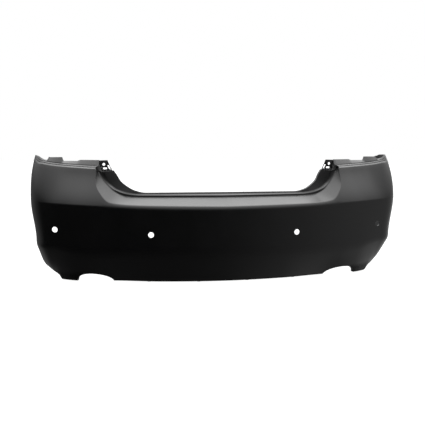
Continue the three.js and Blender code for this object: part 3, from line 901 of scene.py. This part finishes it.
@dataclass
class CoverSkin:
    """The moulded skin: columns of rounded points laid over a flat grid of two walls."""

    shape: CoverShape = field(default_factory=CoverShape)
    stretches: tuple[tuple[float, float, int], ...] = (
        (0, 400, 40), (400, 516, 26), (516, 534, 12), (534, 636, 26), (636, 652, 12), (652, 660, 6),
        (660, 696, 9), (696, 708, 8), (708, 846, 34), (846, 975, 44), (975, 1150, 22),
    )  # fmt: skip
    side_columns: int = 18
    arch_setback: float = 4.5
    arch_round_columns: int = 5
    sensors: tuple[tuple[float, float], ...] = ((354.0, 0.0), (812.0, 22.0))
    sensor_radius: float = 13.5
    clip_hole: float = 3.2
    rivet_hole: float = 2.8
    sill_clips: tuple[float, ...] = (110.0, 300.0)

    def half_columns(self) -> list[list[Key]]:
        """Columns from the centre line to the free edge of the wheel arch flange."""
        columns = [self.shape.keys(0.0)]
        for start, end, count in self.stretches:
            columns += [self.shape.keys(s) for s in spread(start, end, count)]
        leans = spread(0.0, 0.95, self.side_columns)
        columns += [self.shape.side_keys(lean) for lean in leans]
        return columns + self.arch_columns(columns[-1], self.shape.side_keys(1.0))

    def arch_columns(self, before: list[Key], edge: list[Key]) -> list[list[Key]]:
        """Rounded wheel arch edge and the flange behind it.

        Args:
            before: The last column of the side panel.
            edge: The column along the sharp edge.

        Returns:
            The columns past the last one of the side panel.
        """
        inwards = Vector((-1.0, 0.0, 0.0))
        columns: list[list[Key]] = []
        for i in range(self.arch_round_columns + 1):
            t = i / self.arch_round_columns
            column = []
            for a, b in zip(before, edge):
                start = b.point + (a.point - b.point).normalized() * self.arch_setback
                end = b.point + inwards * self.arch_setback
                point = start * (1 - t) ** 2 + b.point * 2 * t * (1 - t) + end * t**2
                column.append(Key(point, b.setback, b.count))
            columns.append(column)
        for into in (0.5 * self.shape.arch_flange, self.shape.arch_flange):
            columns.append([Key(b.point + inwards * into, b.setback, b.count) for b in edge])
        return columns

    @staticmethod
    def mirrored(column: list[Key]) -> list[Key]:
        """The same column on the left half."""
        return [Key(Vector((-k.point.x, k.point.y, k.point.z)), k.setback, k.count) for k in column]

    @staticmethod
    def unit(vectors: np.ndarray) -> np.ndarray:
        """Vectors scaled to length 1."""
        return vectors / np.maximum(np.linalg.norm(vectors, axis=-1, keepdims=True), 1e-9)

    def walls(self) -> tuple[np.ndarray, np.ndarray]:
        """Outer and inner wall as grids of points, columns first."""
        half = self.half_columns()
        columns = [*(self.mirrored(c) for c in reversed(half[1:])), *half]
        points = np.array([[k.point for k in column] for column in columns])
        setback = np.array([[k.setback for k in column] for column in columns])
        counts = [k.count for k in columns[0]]
        across = self.unit(np.gradient(points, axis=0))
        rise = self.unit(np.diff(points, axis=1))
        before = np.concatenate([rise[:, :1], rise], axis=1)
        after = np.concatenate([rise, rise[:, -1:]], axis=1)
        normal = self.unit(self.unit(np.cross(across, before)) + self.unit(np.cross(across, after)))
        cos_half = np.clip(np.sum(normal * self.unit(np.cross(across, after)), axis=-1), 0.55, 1.0)
        inner = points - normal * (self.shape.skin / cos_half)[..., None]
        bulge = -np.sum((after - before) * normal, axis=-1)
        tan_half = np.sqrt(1 / cos_half**2 - 1) * np.sign(bulge)
        inner_setback = np.where(setback > 0, np.maximum(setback - self.shape.skin * tan_half, 0.5), 0)
        outer_grid = self.rounded_grid(points, setback, counts)
        return outer_grid, self.rounded_grid(inner, inner_setback, counts)

    @staticmethod
    def rounded_grid(points: np.ndarray, setback: np.ndarray, counts: list[int]) -> np.ndarray:
        """Replaces the corner points of every column by short curves.

        Args:
            points: Columns of points.
            setback: How far from each corner its curve starts.
            counts: Points on the curve of each corner; 1 keeps the point.

        Returns:
            Columns of points with the corners rounded.
        """
        rows = []
        for r, count in enumerate(counts):
            if count == 1:
                rows.append(points[:, r])
                continue
            corner = points[:, r]
            to_last, to_next = points[:, r - 1] - corner, points[:, r + 1] - corner
            reach = []
            for arm in (to_last, to_next):
                length = np.linalg.norm(arm, axis=-1)
                reach.append(arm * (np.minimum(setback[:, r], 0.45 * length) / length)[:, None])
            for i in range(count):
                t = i / (count - 1)
                rows.append(corner + reach[0] * (1 - t) ** 2 + reach[1] * t**2)
        return np.stack(rows, axis=1)

    def grain_mask(self, grid: np.ndarray) -> np.ndarray:
        """1 on the bands with painted shade and pebbled grain: the boot step, the bottom lip and the outer
        feet.
        """
        rows = grid.shape[1]
        # painted shade: these bands get a low specular that darkens them; only their pebble relief is grain
        mask = np.zeros(grid.shape[:2])
        riser = slice(rows - 9, rows - 2)
        mask[:, riser] = 1.0
        across, height = np.abs(grid[..., 0]), grid[..., 2]
        riser_end, foot_start, foot_end = 577.0, 668.0, 815.0
        # the painted shade stops before the corner wall, which stays lighter
        mask[across[:, rows - 5] > riser_end, riser] = 0.0
        foot = np.clip((across - foot_start) / 12, 0, 1) * np.clip((foot_end - across) / 30, 0, 1)
        # painted shade on the outer feet, darker towards the bottom edge
        mask = np.maximum(mask, foot * np.clip((-188 - height) / 20, 0, 1))
        # painted shade on the turned bottom lip
        mask[:, :6] = 1.0
        return mask

    def lay_slab(self, columns: int, rows: int) -> bpy.types.Object:
        """Flat slab of two walls with one vertex for each point of the columns."""
        deselect()
        bpy.ops.mesh.primitive_grid_add(x_subdivisions=columns - 1, y_subdivisions=rows - 1, size=2.0)
        slab = bpy.context.object
        modify(slab, "SOLIDIFY", thickness=0.1, offset=-1.0)
        return slab

    def build(self) -> bpy.types.Object:
        """Makes the skin with all its holes, in the frame's metres."""
        outer, inner = self.walls()
        columns, rows = outer.shape[:2]
        slab = self.lay_slab(columns, rows)
        flat = np.empty(len(slab.data.vertices) * 3)
        slab.data.vertices.foreach_get("co", flat)
        flat = flat.reshape(-1, 3)
        c = np.rint((flat[:, 0] + 1) / 2 * (columns - 1)).astype(int)
        r = np.rint((flat[:, 1] + 1) / 2 * (rows - 1)).astype(int)
        is_inner = flat[:, 2] < -0.05
        placed = np.where(is_inner[:, None], inner[c, r], outer[c, r])
        slab.data.vertices.foreach_set("co", placed.ravel())
        # mask of the bands with painted shade and pebbled grain, one value per point
        grained = slab.data.attributes.new("grained", "FLOAT", "POINT")
        grained.data.foreach_set("value", self.grain_mask(outer)[c, r])
        slab.data.update()
        settle(slab, into_frame())
        boolean(slab, self.hole_tools(), "DIFFERENCE")
        return slab

    def hole_frames(self) -> list[tuple[Matrix, float, int]]:
        """Frame, radius and number of sides of every hole on the right half."""
        shape = self.shape
        holes = [(self.sensor_frame(s, z), self.sensor_radius, 64) for s, z in self.sensors]
        for x in self.sill_clips:
            holes.append((Matrix.Translation((x, 136.0, 187.0)), self.clip_hole, 24))
        for x in CornerBracket.rivet_x:
            at = Matrix.Translation((x, CornerBracket.rivet_y, shape.corner_flat))
            holes.append((at, self.rivet_hole, 24))
        holes += [(ClipNut.lip_frame(shape, s), self.clip_hole, 24) for s in ClipNut.lip_places]
        holes += [(ClipNut.arch_frame(shape, z), self.clip_hole, 24) for z in ClipNut.arch_heights]
        holes += [(HeatShield.rivet_frame(shape, s), self.rivet_hole, 24) for s in HeatShield.rivet_places]
        return holes

    def sensor_frame(self, s: float, z: float) -> Matrix:
        """Frame of a sensor hole, with Z pointing out of the face."""
        return aim(self.shape.surface(s, z), -self.shape.inward(s), UP)

    def hole_tools(self) -> bpy.types.Object:
        """Cylinders for all holes on both sides, as one object."""
        tools = []
        for at, radius, sides in self.hole_frames():
            for side in Side:
                tool = cylinder(radius, 40.0 if radius > 10 else 14.0, sides, at)
                settle(tool, into_frame(side))
                tools.append(tool)
        return join(tools)


# ---------------------------------------------------------------- fasteners and brackets


@dataclass
class Rivet:
    """Blind rivet: domed head with a mandrel pit over the joint, bulged tail under it."""

    head_radius: float = 4.8
    body_radius: float = 2.4
    tail_radius: float = 3.5

    def build(self, at: Matrix, grip: float) -> bpy.types.Object:
        """Makes a rivet.

        Args:
            at: Frame on the joint's top, with Z along the rivet.
            grip: Thickness of the joint.

        Returns:
            The rivet, in the moulding's millimetres.
        """
        made = cylinder(self.body_radius, grip, 24, Matrix.Translation((0, 0, -grip / 2)))
        for top, widths in (
            (True, ((self.head_radius, 0.0), (1.0, 0.7), (0.82, 0.6), (0.42, 0.5), (0.8, -0.5))),
            (False, ((self.tail_radius, -0.2), (1.04, -1.6), (0.75, -0.7), (0.4, -0.3))),
        ):
            self.swell(made, top, widths, grip)
        settle(made, at)
        return made

    def swell(self, made: bpy.types.Object, top: bool, widths: tuple, grip: float) -> None:
        """Grows one end of the body ring by ring.

        Args:
            made: The rivet so far.
            top: Whether this is the head's end.
            widths: The first ring's radius and rise, then each ring's scale and rise.
            grip: Thickness of the joint.
        """
        z = 0.0 if top else -grip
        select_faces(made, lambda centre, normal: abs(centre.z - z) < 1e-4 and abs(normal.z) > 0.9)
        scale = widths[0][0] / self.body_radius
        for i, (width, rise) in enumerate(widths):
            factor = scale if i == 0 else width
            bpy.ops.mesh.extrude_region_move(TRANSFORM_OT_translate={"value": (0, 0, rise)})
            bpy.ops.transform.resize(value=(factor, factor, 1.0), center_override=(0, 0, 0))
        bpy.ops.object.mode_set(mode="OBJECT")


@dataclass
class CornerBracket:
    """Slotted plate on the flat at the top corner of the boot opening, with a riveted foot."""

    thickness: float = 3.0
    rear: float = 195.0
    outline: tuple[tuple[float, float], ...] = ((528, 292.4), (576, 292.4), (590, 340), (549, 341))
    foot: tuple[float, float, float] = (528.0, 574.0, 180.0)
    hole: tuple[float, float, float] = (567.0, 321.0, 6.5)
    flat_slot: tuple[tuple[float, float], ...] = ((552, 298), (569, 297.5), (571, 305.5), (553, 306))
    slant_slot: tuple[tuple[float, float], ...] = ((534.5, 299), (542, 299), (550.5, 317), (543, 317))
    clearance: float = 0.4
    rivet_x = (536.0, 563.0)
    rivet_y = 187.0

    def prism(self, corners: tuple[tuple[float, float], ...], depth: float, rear: float) -> bpy.types.Object:
        """Upright slab with a four-cornered outline given in X and Z."""
        made = box((1, depth, 1), (0, rear + depth / 2, 0))
        for vertex in made.data.vertices:
            left, low = vertex.co.x < 0, vertex.co.z < 0
            corner = corners[(0 if left else 1) if low else (3 if left else 2)]
            vertex.co.x, vertex.co.z = corner
        return made

    def build(self) -> bpy.types.Object:
        """Makes the right-hand bracket, in the moulding's millimetres."""
        flat = CoverShape.corner_flat + self.clearance
        made = self.prism(self.outline, self.thickness, self.rear)
        start, end, rear = self.foot
        depth = self.rear + self.thickness - rear
        foot = box((end - start, depth, self.thickness), ((start + end) / 2, rear + depth / 2, flat + 1.5))
        boolean(made, foot, "UNION")
        for x in (531.0, 571.0):
            boolean(made, self.gusset(x, flat), "UNION")
        x, z, radius = self.hole
        turn = aim(Vector((x, self.rear, z)), Vector((0, 1, 0)))
        boss = cylinder(radius + 2.6, self.thickness + 1.2, 40, turn @ Matrix.Translation((0, 0, 1.5)))
        boolean(made, boss, "UNION")
        tools = [cylinder(radius, 20, 40, turn)]
        tools += [self.prism(slot, 20, self.rear - 8) for slot in (self.flat_slot, self.slant_slot)]
        for place in self.rivet_x:
            tools.append(cylinder(2.8, 12, 24, Matrix.Translation((place, self.rivet_y, flat))))
        boolean(made, join(tools), "DIFFERENCE")
        modify(made, "BEVEL", width=0.5, segments=2, angle_limit=math.radians(40), limit_method="ANGLE")
        return made

    def gusset(self, x: float, flat: float) -> bpy.types.Object:
        """Small three-cornered web between foot and plate."""
        made = box((2.0, 10.0, 9.0), (x, self.rear - 4.5, flat + self.thickness + 4.0))
        low_rear = self.rear - 9.5
        for vertex in made.data.vertices:
            if vertex.co.z > flat + 8 and vertex.co.y < low_rear + 1:
                vertex.co.y += 8.5
        return made

    def rivet_frames(self) -> list[Matrix]:
        """Where the two rivets sit on the foot."""
        top = CoverShape.corner_flat + 2 * self.clearance + self.thickness
        return [Matrix.Translation((x, self.rivet_y, top)) for x in self.rivet_x]

    @property
    def grip(self) -> float:
        """Thickness through foot and flange."""
        return self.thickness + CoverShape.skin + 3 * self.clearance

    def add(self) -> None:
        """Adds both brackets and their rivets."""
        both = Piece("corner_bracket_{side}", ("corner_bracket_{side}",), Slot.BRACKET, BRACKET_BLACK)
        both.dress_both(self.build())
        for i, at in enumerate(self.rivet_frames(), 1):
            name = f"bracket_rivet_{{side}}_{i}"
            Piece(name, (name,), Slot.RIVET, RIVET_METAL).dress_both(Rivet().build(at, self.grip))


@dataclass
class SensorHolder:
    """Collar bonded behind a sensor hole: flange, tube, two snap lugs with windows, and ribs."""

    inner_radius: float = 17.0
    tube_radius: float = 19.5
    flange_radius: float = 24.0
    depth: float = 8.0
    flange_depth: float = 2.5
    behind: float = 1.2
    sides: int = 64

    def build(self, seat: Matrix) -> bpy.types.Object:
        """Makes one holder.

        Args:
            seat: Frame on the inner face of the skin, with Z pointing out.

        Returns:
            The holder, in the moulding's millimetres.
        """
        half = self.depth / 2
        made = cylinder(self.tube_radius, self.depth, self.sides, Matrix.Translation((0, 0, -half)))
        middle = Matrix.Translation((0, 0, -self.flange_depth / 2))
        boolean(made, cylinder(self.flange_radius, self.flange_depth, self.sides, middle), "UNION")
        for end in (-1, 1):
            boolean(made, box((4.5, 8.0, 3.0), (end * 20.7, 0, -5.0)), "UNION")
            boolean(made, box((1.4, 12.0, 1.2), (end * 20.0, 0, -self.depth + 0.8)), "UNION")
        for turn in range(6):
            angle = math.radians(30 + 60 * turn)
            turned = Matrix.Rotation(angle, 4, "Z") @ Matrix.Translation((21.0, 0, -4.0))
            rib = box((4.0, 1.4, 3.6), (0, 0, 0))
            settle(rib, turned)
            boolean(made, rib, "UNION")
        boolean(made, cylinder(self.inner_radius, 60, self.sides, Matrix.Identity(4)), "DIFFERENCE")
        modify(made, "BEVEL", width=0.3, segments=2, angle_limit=math.radians(50), limit_method="ANGLE")
        settle(made, seat)
        return made

    def add(self, skin: CoverSkin) -> None:
        """Adds the four holders."""
        for word, (s, z) in zip(("inner", "outer"), skin.sensors):
            back = -(skin.shape.skin + self.behind)
            seat = skin.sensor_frame(s, z) @ Matrix.Translation((0, 0, back))
            name = f"sensor_holder_{word}_{{side}}"
            Piece(name, (name,), Slot.HOLDER, HOLDER_BLACK).dress_both(self.build(seat))


@dataclass
class HeatShield:
    """Aluminium sheet over the tailpipe cut-out, with swaged beads."""

    start: float = 547.0
    end: float = 690.0
    columns: int = 44
    thickness: float = 1.2
    lift: float = 1.4
    profile: Pairs = ((5, 0), (22, 0), (48, 8), (80, 14), (112, 16))
    rows: int = 40
    rivet_places = (577.5, 656.0)

    @staticmethod
    def rivet_frame(shape: CoverShape, s: float) -> Matrix:
        """Frame of a rivet on the turned edge over the cut-out, with Z pointing down."""
        beside = shape.bottom_point(s + 2, 12) - shape.bottom_point(s - 2, 12)
        out = beside.cross(shape.inward(s))
        return aim(shape.bottom_point(s, 12), out if out.z < 0 else -out, beside)

    def bead(self, across: float, into: float) -> float:
        """Height of the two swaged beads that stiffen the sheet."""
        length = smooth((across - 0.12) / 0.06) * smooth((0.88 - across) / 0.06)
        return 2.2 * length * sum(max(1 - ((into - at) / 5) ** 2, 0) for at in (44.0, 72.0))

    def point(self, shape: CoverShape, u: float, v: float) -> Vector:
        """Point of the upper face at fractions across and inwards."""
        s = lerp(self.start, self.end, u)
        into = lerp(self.profile[0][0], self.profile[-1][0], v)
        point = shape.bottom_point(s, into)
        point.z += shape.skin + self.lift + self.thickness + along(self.profile, into)
        point.z += self.bead(u, into)
        return point

    def build(self, shape: CoverShape) -> bpy.types.Object:
        """Makes the right-hand shield, in the moulding's millimetres."""
        deselect()
        bpy.ops.mesh.primitive_grid_add(x_subdivisions=self.columns, y_subdivisions=self.rows, size=2.0)
        made = bpy.context.object
        for vertex in made.data.vertices:
            vertex.co = self.point(shape, (vertex.co.x + 1) / 2, (vertex.co.y + 1) / 2)
        modify(made, "SOLIDIFY", thickness=self.thickness, offset=-1.0)
        holes = [cylinder(2.8, 24, 24, self.rivet_frame(shape, s)) for s in self.rivet_places]
        boolean(made, join(holes), "DIFFERENCE")
        return made

    def add(self, shape: CoverShape) -> None:
        """Adds both shields and their rivets."""
        name = "tailpipe_shield_{side}"
        Piece(name, (name,), Slot.SHIELD, SHIELD_METAL).dress_both(self.build(shape))
        grip = shape.skin + self.lift + self.thickness + 1.2
        for i, s in enumerate(self.rivet_places, 1):
            at = self.rivet_frame(shape, s) @ Matrix.Translation((0, 0, 0.4))
            name = f"shield_rivet_{{side}}_{i}"
            Piece(name, (name,), Slot.RIVET, RIVET_METAL).dress_both(Rivet().build(at, grip))


@dataclass
class ClipNut:
    """Spring steel clip nut: a strap folded over an edge, with a threaded barrel behind."""

    sheet: float = 1.2
    width: float = 14.0
    gap: float = 0.4
    back: float = 8.0
    lip_places = (120.0, 360.0)
    arch_heights = (-78.0, -15.5, 37.0)

    @staticmethod
    def lip_frame(shape: CoverShape, s: float) -> Matrix:
        """Frame on the turned bottom edge: Z down, X towards its free edge."""
        return aim(shape.bottom_point(s, shape.lip_return / 2), -UP, shape.inward(s))

    @staticmethod
    def arch_frame(shape: CoverShape, z: float) -> Matrix:
        """Frame on the wheel arch flange: Z towards the wheel, X towards its free edge."""
        low, middle, high = (shape.surface(shape.arch_s(h), h) for h in (z - 2, z, z + 2))
        inwards = Vector((-1.0, 0.0, 0.0))
        out = (high - low).cross(inwards)
        centre = middle + inwards * shape.arch_flange / 2
        return aim(centre, out if out.y > 0 else -out, inwards)

    def build(self, at: Matrix, half_depth: float) -> bpy.types.Object:
        """Makes one clip nut.

        Args:
            at: Frame in the middle of the flange's outer face.
            half_depth: Distance from there to the flange's free edge.

        Returns:
            The nut, in the moulding's millimetres.
        """
        inner = CoverShape.skin + self.gap
        front = half_depth + 1.0
        t = self.sheet
        length = front + t + self.back
        middle = (front + t - self.back) / 2
        made = box((length, self.width, inner + self.gap + 2 * t), (middle, 0, (self.gap - inner) / 2))
        throat = box((length, 40, inner + self.gap), (middle - t, 0, (self.gap - inner) / 2))
        boolean(made, throat, "DIFFERENCE")
        below = Matrix.Translation((0, 0, -inner - t - 2.4))
        boolean(made, cylinder(4.2, 5.8, 32, below), "UNION")
        boolean(made, cylinder(2.2, 60, 32, Matrix.Identity(4)), "DIFFERENCE")
        boolean(made, box((1.2, 8.0, 4.0), (-4.6, 0, self.gap + 1)), "DIFFERENCE")
        modify(made, "BEVEL", width=0.35, segments=2, angle_limit=math.radians(50), limit_method="ANGLE")
        settle(made, at)
        return made

    def add(self, shape: CoverShape) -> None:
        """Adds the clip nuts on the bottom edge and on the wheel arch flanges."""
        for i, s in enumerate(self.lip_places, 1):
            name = f"lip_clip_nut_{{side}}_{i}"
            nut = self.build(self.lip_frame(shape, s), shape.lip_return / 2)
            Piece(name, (name,), Slot.CLIP, CLIP_STEEL).dress_both(nut)
        for i, z in enumerate(self.arch_heights, 1):
            name = f"arch_clip_nut_{{side}}_{i}"
            nut = self.build(self.arch_frame(shape, z), shape.arch_flange / 2)
            Piece(name, (name,), Slot.CLIP, CLIP_STEEL).dress_both(nut)


@dataclass
class SideRetainer:
    """Slotted strip bonded inside the side panel under the quarter panel seam, with hooks."""

    thickness: float = 2.5
    clearance: float = 1.6
    start: float = 990.0
    lean_end: float = 0.5
    rows: int = 5
    hooks: tuple[float, ...] = (0.1, 0.38, 0.66)

    def stations(self, shape: CoverShape) -> list[Column]:
        """Columns of the side panel that the strip follows."""
        upright = []
        for s in [self.start, *spread(self.start, shape.side_start, 18)]:
            upright.append(Column(s, s, along(shape.lamp_z, s) - 25))
        return [*upright, *(shape.side_column(lean) for lean in spread(0.0, self.lean_end, 12))]

    def point(self, shape: CoverShape, column: Column, v: float) -> Vector:
        """Point of the strip's outer face, v from its lower to its upper edge."""
        kink = max(along(shape.kink_z, column.s), shape.edge(column.s) + 29)
        crease = min(along(shape.crease_z, column.s), lerp(kink, column.top_z, 0.75))
        z = lerp(crease, column.top_z, lerp(0.82, 0.99, v))
        return shape.at(column, z) - Vector((shape.skin + self.clearance, 0, 0))

    def build(self, shape: CoverShape) -> bpy.types.Object:
        """Makes the right-hand strip, in the moulding's millimetres."""
        stations = self.stations(shape)
        deselect()
        bpy.ops.mesh.primitive_grid_add(x_subdivisions=len(stations) - 1, y_subdivisions=self.rows, size=2.0)
        made = bpy.context.object
        for vertex in made.data.vertices:
            column = stations[round((vertex.co.x + 1) / 2 * (len(stations) - 1))]
            vertex.co = self.point(shape, column, (vertex.co.y + 1) / 2)
        modify(made, "SOLIDIFY", thickness=self.thickness, offset=-1.0)
        for part in self.hooks:
            column = stations[round(part * (len(stations) - 1))]
            middle = self.point(shape, column, 0.5) - Vector((6.5, 0, 0))
            boolean(made, box((11, 16, 10), middle), "UNION")
            boolean(made, box((6, 30, 4), middle + Vector((-1, 0, 1))), "DIFFERENCE")
        modify(made, "BEVEL", width=0.4, segments=2, angle_limit=math.radians(50), limit_method="ANGLE")
        return made

    def add(self, shape: CoverShape) -> None:
        """Adds both strips."""
        name = "side_retainer_{side}"
        Piece(name, (name,), Slot.HOLDER, HOLDER_BLACK).dress_both(self.build(shape))


# ---------------------------------------------------------------- studio


@dataclass
class Softbox:
    """One soft rectangular lamp."""

    name: str
    place: tuple[float, float, float]
    target: tuple[float, float, float]
    size: tuple[float, float]
    radiance: float

    def add(self) -> None:
        """Adds the lamp, unseen by the camera and in reflections."""
        lamp = bpy.data.lights.new(self.name, "AREA")
        lamp.shape = "RECTANGLE"
        lamp.size, lamp.size_y = self.size
        lamp.energy = self.radiance * self.size[0] * self.size[1] * math.pi
        made = bpy.data.objects.new(self.name, lamp)
        away = Vector(self.place) - Vector(self.target)
        made.matrix_world = Matrix.Translation(self.place) @ away.to_track_quat("Z", "Y").to_matrix().to_4x4()
        made.visible_camera = False
        made.visible_glossy = False
        bpy.context.scene.collection.objects.link(made)


@dataclass
class Studio:
    """Pale floor, white surround, soft lamps and the camera."""

    floor_z: float = -0.4296
    camera_place: tuple[float, float, float] = (-0.551, -3.120, 0.322)
    camera_yaw: float = 9.225
    camera_pitch: float = 7.613
    camera_roll: float = 0.317
    lens: float = 55.03

    def add_camera(self) -> None:
        """Adds the camera at its viewing angle."""
        data = bpy.data.cameras.new("camera")
        data.lens = self.lens
        data.clip_end = 60.0
        made = bpy.data.objects.new("camera", data)
        turn = Matrix.Rotation(math.radians(-self.camera_yaw), 4, "Z")
        tilt = Matrix.Rotation(math.radians(90 - self.camera_pitch), 4, "X")
        roll = Matrix.Rotation(math.radians(self.camera_roll), 4, "Z")
        made.matrix_world = Matrix.Translation(self.camera_place) @ turn @ tilt @ roll
        bpy.context.scene.collection.objects.link(made)
        bpy.context.scene.camera = made

    def add_floor(self) -> None:
        """Adds the pale floor, which mirrors don't pick up."""
        deselect()
        place = (0, 0, self.floor_z)
        bpy.ops.mesh.primitive_circle_add(vertices=96, radius=12.0, fill_type="NGON", location=place)
        floor = bpy.context.object
        floor.name = "floor"
        floor.visible_glossy = False
        floor.visible_diffuse = False
        made = bpy.data.materials.new("pale_floor")
        made.use_nodes = True
        sheet = NodeSheet(made.node_tree)
        patches = sheet.noise(sheet.place(), 1.2, 3.0)
        colour = sheet.blend(patches, (0.1, 0.1, 0.1), (0.13, 0.13, 0.13))
        settings = {"Base Color": colour, "Roughness": 0.8, "Emission Color": (1, 1, 1, 1)}
        shader = sheet.add("ShaderNodeBsdfPrincipled", {}, {**settings, "Emission Strength": 0.97})
        sheet.node("ShaderNodeOutputMaterial", {}, {"Surface": shader})
        floor.data.materials.append(made)

    def add_surround(self) -> None:
        """Adds the white surround that only the camera sees."""
        deselect()
        bpy.ops.mesh.primitive_uv_sphere_add(segments=64, ring_count=32, radius=11.0)
        surround = bpy.context.object
        surround.name = "surround"
        made = bpy.data.materials.new("white_surround")
        made.use_nodes = True
        sheet = NodeSheet(made.node_tree)
        glow = sheet.add("ShaderNodeEmission", {}, {"Color": (1, 1, 1, 1), "Strength": 1.0})
        sheet.node("ShaderNodeOutputMaterial", {}, {"Surface": glow})
        surround.data.materials.append(made)
        surround.visible_diffuse = False
        surround.visible_glossy = False
        surround.visible_shadow = False
        surround.visible_transmission = False

    def add_world(self) -> None:
        """Soft room light: bright above and behind, dark in front, with dim glows left and right."""
        world = bpy.data.worlds.new("room")
        world.use_nodes = True
        sheet = NodeSheet(world.node_tree)
        split = sheet.node(
            "ShaderNodeSeparateXYZ", {}, {"Vector": sheet.add("ShaderNodeTexCoord", {}, {}, "Generated")}
        )
        x, y, z = (Signal(sheet, split.outputs[i]) for i in range(3))
        above = z.eased(0.1, 1.15)
        behind = y.eased(-0.05, 0.55)
        right = x.eased(0.05, 0.95)
        left = (0 - x).eased(0.8, 1.0)
        low = (0 - z).eased(0.1, 0.9)
        light = above * (1 + y * 0.805) * 4.2 + behind * 0.28 + right * 0.6 + left * 0.3 + low * 0.07
        sky = sheet.add("ShaderNodeBackground", {}, {"Color": (1, 1, 1, 1), "Strength": light})
        sheet.node("ShaderNodeOutputWorld", {}, {"Surface": sky})
        bpy.context.scene.world = world

    def add(self) -> None:
        """Adds the whole studio."""
        self.add_camera()
        self.add_floor()
        self.add_surround()
        self.add_world()
        Softbox("overhead", (0.2, 1.0, 2.6), (0.0, 0.1, 0.0), (4.0, 3.0), 0.5).add()
        bpy.context.scene.view_settings.view_transform = "Standard"


def main() -> None:
    """Builds the cover piece by piece, then the studio."""
    logging.basicConfig(level=logging.INFO, format="%(message)s")
    skin = CoverSkin()
    Piece("cover_skin_moulded", ("cover_skin",), Slot.SKIN, PRIMED).dress(skin.build())
    CornerBracket().add()
    SensorHolder().add(skin)
    HeatShield().add(skin.shape)
    ClipNut().add(skin.shape)
    SideRetainer().add(skin.shape)
    Studio().add()


if __name__ == "__main__":
    main()
